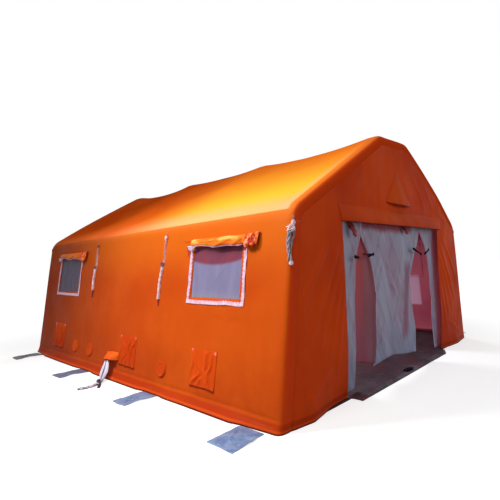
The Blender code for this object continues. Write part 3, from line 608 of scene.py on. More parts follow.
def painted_roof_highlight(look):
    """Painted highlight on the roof cloth: yellow, most of all low on the slope and towards the front, with a painted
    glow along the eave and a painted pale line where the roof turns down to the front; the front wrap stays orange and
    its last edge takes the gable's red.
    """
    low, front = look.band("Z", 2.25, 3.05, 1.0, 0.12, "LINEAR"), look.band("Y", -1.75, 0.75, 1.0, 0.0)
    look.tint(look.times(low, front, look.mottle(0.8, 3.0, 0.2, 0.8, 0.88, 1.0)), (1.0, 0.50, 0.036, 1.0))
    edge = look.times(look.band("Z", 2.02, 2.26, 0.7, 0.0), look.band("Y", -0.9, 1.6, 1.0, 0.35))
    look.tint(edge, look.mix(look.band("Y", -1.3, 0.7), (1.0, 0.42, 0.22, 1.0), (1.0, 0.27, 0.085, 1.0)))
    crest = look.times(look.band("Y", -2.875, -2.845, 0.0, 0.55), look.band("Y", -2.84, -2.76, 1.0, 0.0))
    look.tint(look.times(crest, look.band("Z", 2.2, 2.95, 1.0, 0.2)), (1.0, 0.42, 0.26, 1.0))
    look.tint(look.band("Y", -2.91, -2.86, 1.0, 0.0), (246, 122, 44))
    look.tint(look.band("Y", -2.970, -2.940, 1.0, 0.0), (222, 72, 24))


def painted_wall_shading(look):
    """Painted light and shade on the walls: a painted highlight high up and over the eave bend, painted shade deepening
    towards the rear, and redder round the front corners.
    """
    look.tint(look.band("Z", 1.2, 1.9, 0.0, 0.9), (216, 102, 20))
    look.tint(look.band("Z", 1.93, 2.04, 0.0, 0.8), (240, 128, 50))
    look.tint(look.band("Y", -0.4, 2.5, 0.0, 0.62), (146, 48, 14))
    look.tint(look.band("Y", -2.968, -2.945, 1.0, 0.0), (222, 68, 18))


def cover_highlight_and_shade(look):
    """Painted light on the covers: pale painted highlights in streaks, and painted shade that darkens the rear ones, so
    the front covers are paler.
    """
    look.tint(look.mottle(9.0, 3.0, 0.45, 0.62, 0.0, 0.9, (1.0, 0.3, 1.0)), (255, 204, 112))
    look.tint(look.band("Y", -1.4, 0.9, 0.0, 0.8), (216, 88, 26))


def tuft_highlight_and_shade(look):
    """Bunched cloth: painted pink highlights and painted dark-red shade in a fine pattern, standing for its ridges and
    creases.
    """
    fine = look.noise(26.0, 3.0, (1.0, 1.0, 0.45))
    look.tint(look.ramp(fine, 0.52, 0.60, 0.0, 0.85), (252, 168, 128))
    look.tint(look.ramp(fine, 0.38, 0.46, 0.85, 0.0), (156, 36, 22))


def curtain_cloth(name):
    """Thin milky curtain cloth, creased, with painted shade and painted highlights along slanting creases, rose where
    the light of the inside comes through and most in a ragged band under the header, bluish low down, lifted with
    painted light at its far right edge, and with painted shade along a tucked fold.
    """
    look = Look(name, 0.6, level=0.2)
    look.start(look.mottle(2.2, 3.0, 0.40, 0.68, 0.0, 0.6, (1.0, 1.0, 0.6)), (182, 182, 200), (180, 146, 170))
    look.tint(look.band("Z", 0.25, 0.8, 0.6, 0.0), (150, 166, 192))
    first, second = look.slanted(13.0, 0.5, 9.0), look.slanted(15.0, -0.45, 9.0)
    # Painted shade and a painted highlight along the slanting creases.
    look.tint(look.ramp(first, 0.54, 0.64, 0.0, 0.22), (138, 104, 134))
    look.tint(look.ramp(second, 0.55, 0.66, 0.0, 0.22), (160, 92, 116))
    look.tint(look.ramp(second, 0.34, 0.44, 0.26, 0.0), (216, 218, 230))
    # The light of the inside, painted as a ragged rose band under the header.
    ragged = look.math("ADD", look.axis("Z"), look.times(look.noise(3.4, 3.0, (1.0, 1.0, 0.6)), 0.14))
    inner = look.ramp(look.apart(look.axis("X"), -0.14), 0.66, 0.84, 1.0, 0.0)
    look.tint(look.times(look.ramp(ragged, 1.87, 1.96, 0.0, 0.85), inner), (170, 64, 84))
    # Painted light that lifts the far right edge out of the jamb's shade.
    look.tint(look.band("X", 1.38, 1.50), (232, 174, 188))
    # Painted shade along the tucked inner fold of the middle curtain.
    lean = look.math("SUBTRACT", look.axis("X"), look.times(look.axis("Z"), 0.24))
    tuck_shade = look.ramp(look.apart(lean, 0.095), 0.05, 0.15, 0.85, 0.0)
    tuck_shade = look.times(tuck_shade, look.times(look.band("Z", 0.30, 0.50), look.band("Z", 1.30, 1.48, 1.0, 0.0)))
    look.tint(tuck_shade, (158, 100, 126))
    crossed = look.bump(look.math("ADD", first, second), 0.6, 0.014)
    fine = look.bump(look.noise(11.0, 4.0, (1.0, 1.0, 0.5)), 0.4, 0.008, crossed)
    return look.finish(look.bump(look.weave(0.0016), 0.2, 0.0003, fine), 0.3)


def fold_cloth(name):
    """The slack inner part of the middle curtain, which the light of the inside colours rose."""
    look = Look(name, 0.6, level=0.2)
    look.start(look.band("Z", 0.3, 1.6), (164, 88, 108), (196, 86, 88))
    look.tint(look.band("X", -0.90, -0.74, 0.0, 0.6), (150, 112, 126))
    look.tint(look.mottle(5.0, 3.0, 0.4, 0.7, 0.0, 0.3, (1.0, 1.0, 0.3)), (140, 70, 84))
    return look.finish(look.bump(look.noise(9.0, 3.0, (1.0, 1.0, 0.4)), 0.4, 0.006), 0.3)


def liner_cloth(name):
    """The inner side of the skin: rose in the light of the inside, with a painted pale patch of window light under a
    side window.
    """
    look = Look(name, 0.55, level=0.12)
    look.start(look.mottle(0.9, 4.0, 0.36, 0.66), (196, 112, 128), (168, 82, 102))
    # Painted light: a pale patch on the right wall, as if lit through its window.
    across = look.ramp(look.apart(look.axis("Y"), -1.90), 0.35, 0.40, 1.0, 0.0)
    up = look.ramp(look.apart(look.axis("Z"), 0.855), 0.26, 0.30, 1.0, 0.0)
    look.tint(look.times(across, up, look.band("X", 1.0, 1.5, 0.0, 0.85)), (212, 186, 214))
    look.tint(look.band("Z", 0.02, 0.12, 0.7, 0.0), (80, 30, 36))
    puckers = look.bump(look.noise(7.0, 4.0), 0.4, 0.006)
    return look.finish(look.bump(look.weave(0.0024), 0.12, 0.0003, puckers), 0.1)


def soft_cloth(name, tone, shade, glow=0.0):
    look = Look(name, 0.62, sheen=0.15, level=0.3)
    look.start(look.mottle(2.4, 4.0, 0.35, 0.68), tone, shade)
    fine = look.bump(look.noise(16.0, 4.0), 0.4, 0.004)
    return look.finish(look.bump(look.weave(0.0016), 0.25, 0.0004, fine), glow)


def webbing(name, tone, shade, stitch=None):
    """Ribbed tape: ribs across it, darker between them, worn lighter in places, perhaps with a row of stitches."""
    look = Look(name, 0.6, sheen=0.2, level=0.3)
    ribs = look.weave(0.0022)
    look.start(look.mottle(22.0, 4.0, 0.35, 0.7), tone, shade)
    look.tint(look.ramp(ribs, 0.0, 0.5, 0.25, 0.0), shade)
    if stitch is not None:
        dashes = look.ramp(look.bands("Y", WAVE_TURN / 0.045), 0.45, 0.65)
        look.tint(look.times(look.band("X", 0.012, 0.018, 0.8, 0.0, source="UV"), dashes), stitch)
    return look.finish(look.bump(ribs, 0.5, 0.0006))


def window_film(name):
    """Milky sheet, darker on the rear windows, with painted rose-maroon shade under the cover over its upper part, down
    to a sagging edge.
    """
    look = Look(name, 0.35, level=0.08)
    across = look.math("SUBTRACT", look.math("ABSOLUTE", look.axis("Y"), 0.0), WINDOW_OFFSET)
    rear, wavy = look.band("Y", -0.5, 0.5, 0.0, 0.17), look.times(look.noise(2.5, 2.0, (0.0, 1.0, 0.0)), 0.02)
    height = look.math("SUBTRACT", look.axis("Z"), look.times(across, across, 0.30), rear, wavy)
    look.start(look.mottle(11.0, 3.0, 0.4, 0.72, 0.0, 0.4, (1.0, 1.0, 0.12)), (124, 122, 156), (148, 144, 178))
    look.tint(look.band("Z", 1.1, 1.25, 0.45, 0.0), (150, 150, 156))
    look.tint(look.band("Y", 0.0, 1.0, 0.0, 0.95), (64, 58, 80))
    streaks = look.mottle(6.0, 3.0, 0.35, 0.7, stretch=(1.0, 1.0, 0.15))
    # Painted shade under the cover, over the top of the film down to a sagging edge.
    look.tint(look.ramp(height, 1.465, 1.505), look.mix(streaks, (128, 60, 76), (112, 60, 86)))
    return look.finish(look.bump(look.noise(9.0, 3.0, (1.0, 1.0, 0.3)), 0.4, 0.008), clear=0.14)


def ground_cloth(name, tone, shade):
    """Trodden floor cloth: scuffed grey, with rusty and bluish patches, and painted shade inside the door."""
    look = Look(name, 0.62, level=0.2)
    look.start(look.mottle(3.0, 6.0, 0.35, 0.7), tone, shade)
    look.tint(look.mottle(24.0, 4.0, 0.5, 0.75, 0.0, 0.6), (112, 104, 112))
    look.tint(look.mottle(2.6, 4.0, 0.50, 0.66, 0.0, 0.75), (92, 44, 48))
    look.tint(look.mottle(3.1, 4.0, 0.34, 0.46, 0.7, 0.0, (1.0, 1.3, 1.0)), (84, 88, 100))
    # Painted shade on the floor inside the door.
    inner = look.math("ADD", look.axis("Y"), look.times(look.noise(5.0, 3.0), 0.12))
    look.tint(look.ramp(inner, -2.99, -2.93, 0.0, 0.5), (42, 22, 30))
    return look.finish(look.bump(look.noise(12.0, 5.0), 0.6, 0.008))


def foil_cloth(name):
    """Silvery blue tarpaulin, creased, with paler wear along the creases and painted shade deepening towards the back.
    """
    look = Look(name, 0.45, coat=0.05, level=0.3)
    creases = look.noise(7.0, 5.0)
    look.start(look.ramp(creases, 0.38, 0.62), (92, 120, 162), (122, 148, 186))
    look.tint(look.mottle(38.0, 4.0, 0.58, 0.72, 0.0, 0.5), (184, 192, 212))
    # Painted shade, deepening towards the rear tabs.
    look.tint(look.band("Y", -1.9, 0.7, 0.0, 0.75), (88, 92, 112))
    look.tint(look.band("Y", 1.6, 2.4, 0.0, 0.8), (52, 54, 62))
    return look.finish(look.bump(creases, 0.6, 0.010, look.bump(look.weave(0.003), 0.2, 0.0004)))


def braid(name, tone, shade):
    look = Look(name, 0.6, sheen=0.2, level=0.3)
    strands = look.bands("DIAGONAL", 90.0, "Object")
    look.start(look.mottle(30.0, 3.0, 0.3, 0.7), tone, shade)
    look.tint(look.ramp(strands, 0.0, 0.5, 0.35, 0.0), shade)
    return look.finish(look.bump(strands, 0.4, 0.0006))


def moulded(name, tone, rough, level=0.5):
    look = Look(name, rough, level=level)
    shade = tuple(c * 0.7 for c in linear(tone)[:3]) + (1.0,)
    look.start(look.mottle(40.0, 3.0, 0.35, 0.7), tone, shade)
    return look.finish(look.bump(look.noise(120.0, 2.0), 0.2, 0.0004))


SKIN_CLOTH = coated_cloth("skin_cloth", (207, 84, 18), (193, 71, 14), extra_tints=painted_wall_shading)
# The roof cloth is a paler copy of the skin's: painted light, for the roof that catches more light than the walls.
ROOF_PAINTED_LIGHT_CLOTH = coated_cloth("roof_painted_light_cloth", (248, 106, 28), (234, 86, 20), extra_tints=painted_roof_highlight, dust_and_painted_hem=False, level=0.0)
LINER_CLOTH = liner_cloth("liner_cloth")
FLAP_CLOTH = coated_cloth("flap_cloth", (212, 76, 14), (192, 60, 12), 0.06)
GABLE_CLOTH = coated_cloth("gable_cloth", (226, 76, 16), (204, 58, 12))
# A paler copy of the flap cloth for the cable port hood: painted light on its upper face.
HOOD_PAINTED_LIGHT_CLOTH = coated_cloth("hood_painted_light_cloth", (250, 120, 40), (226, 92, 26), 0.06, dust_and_painted_hem=False)
# A darker copy of the flap cloth: painted shade along the lower edges of flaps, hoods and doors.
HEM_SHADE_CLOTH = coated_cloth("hem_shade_cloth", (150, 44, 22), (120, 34, 20), 0.0)
BEAM_CLOTH = coated_cloth("beam_cloth", (214, 88, 30), (190, 70, 24), 0.0, dust_and_painted_hem=False)
# The covers' cloth is a paler, yellower copy of the flap cloth: painted light on their upward faces.
COVER_PAINTED_LIGHT_CLOTH = coated_cloth("cover_painted_light_cloth", (254, 150, 52), (244, 116, 32), 0.1, cover_highlight_and_shade, False)
# A darker, redder copy of the cover cloth for the bunched front end: painted shade, with painted pink highlights.
TUFT_SHADED_CLOTH = coated_cloth("tuft_shaded_cloth", (238, 112, 58), (218, 82, 38), 0.08, tuft_highlight_and_shade, False)
COVER_SHADE = coated_cloth("cover_shade", (198, 66, 38), (160, 42, 28), 0.05, dust_and_painted_hem=False)
CURTAIN_CLOTH = curtain_cloth("curtain_cloth")
FOLD_CLOTH = fold_cloth("fold_cloth")
RED_CLOTH = soft_cloth("red_cloth", (158, 14, 30), (96, 8, 20))
SLEEVE_CLOTH = soft_cloth("sleeve_cloth", (226, 222, 234), (190, 190, 214), 0.1)
RAG_SHADE = soft_cloth("rag_shade", (132, 120, 126), (86, 76, 84))
SHADE_CLOTH = soft_cloth("shade_cloth", (84, 92, 130), (58, 58, 84))
EDGE_CLOTH = soft_cloth("edge_cloth", (214, 190, 220), (170, 120, 168), 0.1)
TAPE_CLOTH = webbing("tape_cloth", (226, 196, 212), (196, 154, 178), (218, 76, 66))
LOOP_CLOTH = webbing("loop_cloth", (190, 96, 60), (160, 70, 44))
BLACK_STRAP = moulded("black_strap", (10, 8, 16), 0.8, 0.04)
RED_STRAP = moulded("red_strap", (112, 24, 36), 0.8, 0.1)
NAVY_STRAP = moulded("navy_strap", (62, 50, 72), 0.8, 0.1)
STUD = moulded("stud", (232, 122, 100), 0.5)
FILM_SHEET = window_film("film_sheet")
MAT_CLOTH = ground_cloth("mat_cloth", (68, 62, 68), (44, 40, 46))
FOIL_CLOTH = foil_cloth("foil_cloth")
CORD_BRAID = braid("cord_braid", (255, 244, 250), (222, 178, 186))
RED_BRAID = braid("red_braid", (150, 62, 60), (92, 30, 34))
GREY_BRAID = braid("grey_braid", (170, 172, 186), (112, 116, 132))
TIE_BRAID = braid("tie_braid", (222, 216, 230), (170, 166, 190))
DARK_BRAID = braid("dark_braid", (62, 66, 92), (34, 32, 50))
KNOT_BRAID = braid("knot_braid", (120, 140, 150), (82, 98, 112))


# Stage


def stage_floor():
    """Pale floor that a camera sees as white where no shadow falls, all the way to the horizon."""
    material = bpy.data.materials.new("stage_floor")
    look = Nodes(material)
    look.tree.nodes.clear()
    plain = look.node("BsdfDiffuse", {"Color": (0.45, 0.45, 0.45, 1.0)})
    pale = look.node("BsdfDiffuse", {"Color": (0.5, 0.5, 0.5, 1.0)})
    away = look.node("VectorMath", {0: look.node("TexCoord").outputs["Object"]}, operation="LENGTH")
    ends = {"From Min": 4.0, "From Max": 9.0, "To Min": 0.66, "To Max": 1.0}
    rise = look.node("MapRange", {"Value": away.outputs["Value"], **ends})
    lift = look.node("Emission", {"Strength": rise.outputs["Result"]})
    both = look.node("AddShader", {0: pale.outputs[0], 1: lift.outputs[0]})
    look.node("OutputMaterial", {"Surface": look.blend(look.seen(), plain, both).outputs[0]})
    return material


def add_stage():
    corners = [(-80, -80, -0.0006), (80, -80, -0.0006), (80, 80, -0.0006), (-80, 80, -0.0006)]
    add_object("stage_floor", corners, [(0, 1, 2, 3)], [stage_floor()])
    world = bpy.data.worlds.new("studio")
    bpy.context.scene.world = world
    look = Nodes(world)
    look.tree.nodes.clear()
    sky = look.node("Background", {"Color": (0.94, 0.97, 1.0, 1.0), "Strength": 0.22})
    white = look.node("Background", {"Color": (1.0, 1.0, 1.0, 1.0), "Strength": 1.0})
    look.node("OutputWorld", {"Surface": look.blend(look.seen(), sky, white).outputs[0]})


add_camera()
add_stage()
add_lamp("key", (-6.17, 0.8, 5.56), (-5.99, -7.54, -4.36), 1.4, 2120.0, (1.0, 0.98, 0.95), 149.4)
add_lamp("sky", (-5.0, -2.9, 6.2), (-2.0, -1.5, 1.9), 2.6, 170.0)
add_lamp("fill", (2.5, -11.0, 4.0), (0.0, -3.0, 1.2), 5.0, 150.0)
add_lamp("back", (7.0, 6.0, 6.5), (0.5, 0.5, 1.5), 4.0, 420.0)
add_lamp("inside", (0.0, 0.2, 2.35), (0.0, 0.2, 0.0), 1.6, 210.0, (1.0, 0.88, 0.95))


# Cords


def smooth_route(points, step):
    route = [Vector(p) for p in points]
    ends = [2 * route[0] - route[1]] + route + [2 * route[-1] - route[-2]]
    line = []
    for a, b, c, d in zip(ends, ends[1:], ends[2:], ends[3:]):
        count = max(1, round((c - b).length / step))
        for i in range(count):
            t = i / count
            line.append(
                b
                + (c - a) * (t / 2)
                + (2 * a - 5 * b + 4 * c - d) * (t * t / 2)
                + (3 * b - a - 3 * c + d) * (t * t * t / 2)
            )
    return line + [route[-1]]


def wall_points(side, y, up, out):
    """Points by their place along the tent, up the wall's slope, and out from the wall's outer face."""
    x = BASE_WIDTH / 2 - np.asarray(up) * math.sin(LEAN) + np.asarray(out) * math.cos(LEAN)
    z = np.asarray(up) * math.cos(LEAN) + np.asarray(out) * math.sin(LEAN)
    return stack(side * x, y, z)


def sleeve_route():
    return [Vector(wall_points(-1, along - 0.030, up, out)) for along, up, out, _, _ in SLEEVE_ROUTE]


def tie_route():
    end = sleeve_route()[-1]
    rest = TIE_DIAMETER / 2 + GAP
    return [(end.x - out, end.y + along, rest + (end.z - rest) * share) for out, along, share in TIE_ROUTE]


def step(share):
    share = min(1.0, max(0.0, share))
    return share * share * (3 - 2 * share)


def hank_line(lead, run):
    """(drop, across, out) along a cord that hangs from its loop and is wound into a hank below it."""
    layer_one = CORD_DIAMETER / 2 + GAP
    offset = HANK_HALF_WIDTH + CORD_STEP
    line = []
    for share in [i / 8 for i in range(8)]:
        line.append((GAP + lead * share, offset * step(share / 0.8), layer_one))
    per_turn = 24
    for index in range(round(HANK_TURNS * per_turn) + 1):
        turn = index / per_turn
        layer, part = divmod(turn, 1.0)
        stepped = 1 - part if layer % 2 == 0 else part
        extra = CORD_STEP * stepped
        climb = step(part / HANK_CLIMB) if layer else 1.0
        out = layer_one + CORD_STEP * (layer - 1 + climb if layer else 0.0)
        bend = 0.5 - HANK_RUN_SHARE
        if part <= HANK_RUN_SHARE or 0.5 < part <= 0.5 + HANK_RUN_SHARE:
            going_down = part <= HANK_RUN_SHARE
            along = (part if going_down else part - 0.5) / HANK_RUN_SHARE
            waist = step(along / 0.25) * step((1 - along) / 0.25)
            half = HANK_HALF_WIDTH * (1 - (1 - HANK_WAIST) * waist) + extra
            drop = along * run if going_down else (1 - along) * run
            line.append((lead + drop, half if going_down else -half, out))
        else:
            at_bottom = part < 0.5 + bend
            angle = math.pi * (part - HANK_RUN_SHARE - (0.0 if at_bottom else 0.5)) / bend
            half = HANK_HALF_WIDTH + extra
            across = half * math.cos(angle)
            reach = half * math.sin(angle)
            if at_bottom:
                line.append((lead + run + reach, across, out))
            else:
                line.append((lead - reach, -across, out))
    return line


def corner_frame(side, y, end, turn):
    """The skin's foot point, its upward line and its outward direction beside an arch."""
    power = 2 / CORNER_FULLNESS
    inset = CORNER_RADIUS * (1 - math.cos(turn) ** power) / math.cos(LEAN)
    foot = Vector((side * (BASE_WIDTH / 2 - inset), y + end * CORNER_RADIUS * math.sin(turn) ** power, 0.0))
    up = Vector((-side * math.sin(LEAN), 0.0, math.cos(LEAN)))
    flat = Vector((side * math.cos(LEAN), 0.0, math.sin(LEAN)))
    out = (flat * math.cos(turn) + Vector((0.0, end * math.sin(turn), 0.0))).normalized()
    return foot, up, out


def loop_frames():
    frames = []
    for side in (-1, 1):
        for index, y in enumerate(ARCHES):
            end = -1 if index == 0 else 1 if index == BAYS else 0
            turn = math.radians(CORNER_LOOP_TURN) if end else 0.0
            frames.append((side, index, corner_frame(side, y, end, turn)))
    return frames


def add_cord_curve(name, line, diameter, material):
    curve = bpy.data.curves.new(name, "CURVE")
    curve.dimensions = "3D"
    curve.bevel_depth = diameter / 2
    curve.bevel_resolution = 4
    curve.use_fill_caps = True
    spline = curve.splines.new("POLY")
    spline.points.add(len(line) - 1)
    for point, place in zip(spline.points, line):
        point.co = (place[0], place[1], place[2], 1.0)
    curve.materials.append(material)
    return add(name, curve)


def line_length(line):
    return sum((Vector(b) - Vector(a)).length for a, b in zip(line, line[1:]))


def ring_tube(name, centre, across, out, along, size, wire, turns, material, spread=1.02):
    """A cord wound a few times round a bundle, as one closed spiral tube."""
    steps = int(28 * turns)
    line = []
    for k in range(steps + 1):
        angle = 2 * math.pi * k / 28
        turned = across * (size[0] * math.cos(angle)) + out * (size[1] * math.sin(angle))
        line.append(centre + turned + along * (wire * spread * (k / 28 - turns / 2)))
    return add_cord_curve(name, line, wire, material)


def add_knot(name, centre, across, out, up, size, wire, material):
    """A lumpy knot: a cord that runs over and under itself round a ring."""
    line = []
    for k in range(181):
        turn, over = 2 * math.pi * 3 * k / 180, 2 * math.pi * 7 * k / 180
        reach = 0.56 + 0.40 * math.cos(over)
        line.append(
            centre
            + across * (size[0] * reach * math.cos(turn))
            + up * (size[2] * reach * math.sin(turn))
            + out * (size[1] * 0.6 * math.sin(over))
        )
    return add_cord_curve(name, line, wire, material)


def add_bundle(name, start, axes, span, bend, radius, wire, material, twist):
    """Three strands laid round each other along a hanging hank, which sways sideways."""
    up, across, out = axes
    made = []
    for strand in range(3):
        line = []
        for k in range(73):
            share = k / 72
            angle = 2 * math.pi * (strand / 3 + twist * share)
            size = radius * (1 - 0.3 * (2 * share - 1) ** 4)
            line.append(
                start
                - up * (span[0] + (span[1] - span[0]) * share)
                + across * (bend(share) + size * math.cos(angle))
                + out * (0.003 + radius + wire / 2 + 0.85 * size * math.sin(angle))
            )
        made.append(add_cord_curve(f"{name}_{strand + 1}", line, wire, material))
    return made


GUY_SWAY = (-0.014, -0.050, -0.015)
LOOSE_ENDS = ((-0.062, -0.010), (-0.054, 0.030), (0.026, 0.020), (0.016, -0.022))


def add_guy_lines():
    for side, index, (foot, up, out) in loop_frames():
        if side > 0 or index not in HANKS:
            continue
        lead, run = HANKS[index]
        run = run * (0.86 if index == 0 else 1.0)
        braided = GREY_BRAID if index == 0 else CORD_BRAID
        across = up.cross(out)
        start = foot + up * (LOOP_TOP - LOOP_LENGTH)
        whole = lead + run

        def sway(drop):
            return GUY_SWAY[index] * step(drop / whole)

        line = [start - up * d + across * (w + sway(d)) + out * o for d, w, o in hank_line(lead, run)]
        name = f"guy_line_{index + 1}"
        cord = add_cord_curve(name + "_cord", line, CORD_DIAMETER, braided)
        dress(cord, "tent", "white_cord", name)
        axes = (up, across, out)

        def spot(drop, aside=0.0, off=0.0):
            return start - up * drop + across * (sway(drop) + aside) + out * off

        def slung(share):
            return -0.030 - 0.010 * math.sin(math.pi * share) + 0.034 * share ** 3

        def wavy(share):
            return sway(lead + share * run) + 0.004 * math.sin(9 * share)

        def knot(end, place, size, wire, material=CORD_BRAID):
            return add_knot(name + end, spot(*place), across, out, up, size, wire, material)

        if index == 0:
            span = (lead - 0.045, whole + 0.012)
            extras = add_bundle(name + "_bundle", start, axes, span, slung, 0.0110, 0.0130, GREY_BRAID, 1.7)
            extras.append(knot("_knot", (lead - 0.055, -0.014, 0.024), (0.034, 0.024, 0.036), 0.010))
            extras.append(knot("_head", (0.020, 0.002, 0.016), (0.020, 0.012, 0.026), 0.007))
            extras.append(knot("_end", (whole + 0.022, 0.016, 0.020), (0.020, 0.016, 0.018), 0.008))
            for number, (aside, fall) in enumerate(LOOSE_ENDS, 1):
                first, last = spot(lead - 0.055, aside * 0.4, 0.030), spot(lead - 0.055 + fall, aside, 0.014)
                route = smooth_route([first, (first + last) / 2 + out * 0.010, last], 0.006)
                extras.append(add_cord_curve(f"{name}_end_{number}", route, 0.007, CORD_BRAID))
        else:
            span = (lead - 0.010, whole + 0.012)
            extras = add_bundle(name + "_bundle", start, axes, span, wavy, 0.0105, 0.0125, CORD_BRAID, 2.3)
            head, wide, long = (RED_BRAID, 0.028, 0.11) if index == 2 else (CORD_BRAID, 0.020, 0.08)
            extras.append(knot("_knot", (lead - 0.004, 0.0, 0.022), (0.034, 0.024, 0.026), 0.010, RED_BRAID))
            extras.append(knot("_head", (0.020, 0.002, 0.016), (0.022, 0.014, 0.030), 0.008, head))
            for end, drop, wire, turns, material, spread in (
                ("_twist", lead * 0.5, 0.0075, 0.86 * lead / 0.030, CORD_BRAID, 4.0),
                ("_whip", lead * 0.5 + 0.015, 0.0065, 0.78 * lead / 0.032, RED_BRAID, 4.9),
            ):
                centre, half = spot(drop, 0.010, 0.0135), (0.0095, 0.0085)
                extras.append(ring_tube(name + end, centre, across, out, up, half, wire, turns, material, spread))
            extras.append(add_tip(name + "_tip", spot(whole + 0.010, 0.0, 0.010), up, across, out, wide, long))
        for extra in extras:
            dress(extra, "tent", "white_cord")
        length = round(line_length(line), 2)
        tuple(line[0])


def add_tip(name, top, up, across, out, wide, long):
    """A short red rag of cloth that marks the end of a hank."""
    share, down = np.meshgrid(np.linspace(-1, 1, 9), np.linspace(0, 1, 13))
    half = wide * (1 - 0.55 * down) * (1 + 0.2 * np.sin(9 * down))
    lift = 0.003 + 0.005 * np.cos(2.2 * share) + 0.003 * np.sin(7 * down + 2 * share)
    up, across, out, top = (np.array(v) for v in (up, across, out, top))
    grid = top + across * (half * share)[..., None] - up * (long * down)[..., None] + out * lift[..., None]
    return thicken(add_grid(name, grid, [RED_CLOTH], out), 0.0016, offset=0.0)


def add_sleeve_tie():
    line = smooth_route(tie_route(), 0.012)
    tie = add_cord_curve("sleeve_tie_cord", line, TIE_DIAMETER, TIE_BRAID)
    dress(tie, "tent", "white_cord", "sleeve_tie")
    rings = []
    tail = smooth_route(line[3:], 0.006)
    for index, centre in enumerate(tail):
        centre = Vector(centre)
        share = index / (len(tail) - 1)
        ahead = (Vector(tail[min(index + 1, len(tail) - 1)]) - Vector(tail[max(index - 1, 0)])).normalized()
        side = Vector((ahead.y, -ahead.x, 0.0)).normalized()
        wide = 0.020 - 0.004 * share + 0.004 * math.sin(17 * share)
        high = 0.024 - 0.009 * share + 0.004 * math.sin(23 * share + 1)
        ring = []
        for k in range(24):
            angle = 2 * math.pi * k / 24
            rag = 1 + 0.16 * math.sin(4 * angle + 30 * share) + 0.08 * math.sin(7 * angle - 20 * share)
            spot = centre + side * (wide * math.cos(angle) * rag)
            ring.append((spot.x, spot.y, max(0.0012, 0.010 + high * math.sin(angle) * rag)))
        rings.append(ring)
    rag = add_tube("sleeve_tie_rag", rings, [SLEEVE_CLOTH, RAG_SHADE])
    for face in rag.data.polygons:
        ring, spot = divmod(face.index, 24)
        share = ring / (len(tail) - 1)
        if ripple(spot * 0.28 + 9 * share, 16 * share, 8) > 0.6 - 0.7 * share:
            face.material_index = 1
    dress(rag, "tent", "white_sleeve")
    length = round(line_length(line), 3)
    tuple(line[0])


add_guy_lines()
add_sleeve_tie()


# Outer skin


def arc(centre, first, last, count, sag=0.0):
    tilts = np.linspace(first, last, count + 1)
    across, up = np.cos(tilts), np.sin(tilts)
    blank = np.zeros_like(tilts)
    return stack(centre[0] + BEND_RADIUS * across, centre[1] + BEND_RADIUS * up, across, up, blank + sag, blank).T


def wall_line():
    """Rows of (x, z, nx, nz, sag, flare) from the foot to the eave seam."""
    breaks = [0.0, HEM_HEIGHT, WINDOW_BOTTOM * math.cos(LEAN), WINDOW_TOP * math.cos(LEAN), EAVE_START_Z]
    z = np.concatenate((steps_between(breaks[:2], 0.012), steps_between(breaks[1:], 0.028)[1:]))
    x = BASE_WIDTH / 2 - z * math.tan(LEAN)
    blank = np.zeros_like(z)
    straight = stack(x, z, blank + 1 / math.cos(LEAN), blank, blank, np.maximum(0.0, 1 - z / HEM_HEIGHT) ** 2).T
    return np.concatenate((straight, arc(EAVE_CENTRE, LEAN, EAVE_SEAM - SEAM_TURN, 14)[:, 1:]), axis=1)


def slope_line():
    low = arc(EAVE_CENTRE, EAVE_SEAM + SEAM_TURN, ROOF_TILT, 14)
    high = arc(RIDGE_CENTRE, ROOF_TILT, RIDGE_SEAM - SEAM_TURN, 10, 1.0)
    share = np.linspace(0, 1, 62)[1:-1]
    ends = low[:, -1:], high[:, :1]
    middle = ends[0] + (ends[1] - ends[0]) * share
    middle[4] = np.sin(share * np.pi / 2)
    return np.concatenate((low, middle, high), axis=1)


def top_line():
    edge = arc(RIDGE_CENTRE, RIDGE_SEAM + SEAM_TURN, math.pi / 2, 10, 1.0)
    x = np.linspace(edge[0, -1], 0.0, 10)[1:]
    blank = np.zeros_like(x)
    flat = np.stack((x, blank + RIDGE_HEIGHT, blank, blank + 1, blank + 1, blank))
    return np.concatenate((edge, flat), axis=1)


def bay_sag(y):
    sag = np.zeros_like(y)
    for bay, (first, last) in enumerate(zip(ARCHES, ARCHES[1:])):
        share = (y - first - ARCH_FLAT) / (last - first - 2 * ARCH_FLAT)
        inside = (share > 0) & (share < 1)
        sag = np.where(inside, 4 * BAY_SAGS[bay] * share * (1 - share), sag)
    return sag


def hem_flare(y):
    share = np.minimum(1.0, (END_ARCH_Y - np.abs(y)) / HEM_RUN_OUT)
    flare = HEM_CORNER_FLARE + (HEM_FLARE - HEM_CORNER_FLARE) * share
    free = np.ones_like(y)
    for place in TAB_PLACES:
        free = free * smooth((np.abs(y - place) - TAB_WIDTH / 2) / 0.18)
    return flare + free * (0.008 * ripple(y / 0.8, 0.0, 5) + 0.018)


def wrapped(turn):
    """(inwards, sideways) shares of the corner's radius round a corner that is fuller than a circle."""
    turn = np.asarray(turn, float)
    power = 2 / CORNER_FULLNESS
    return 1 - np.abs(np.cos(turn)) ** power, np.abs(np.sin(turn)) ** power


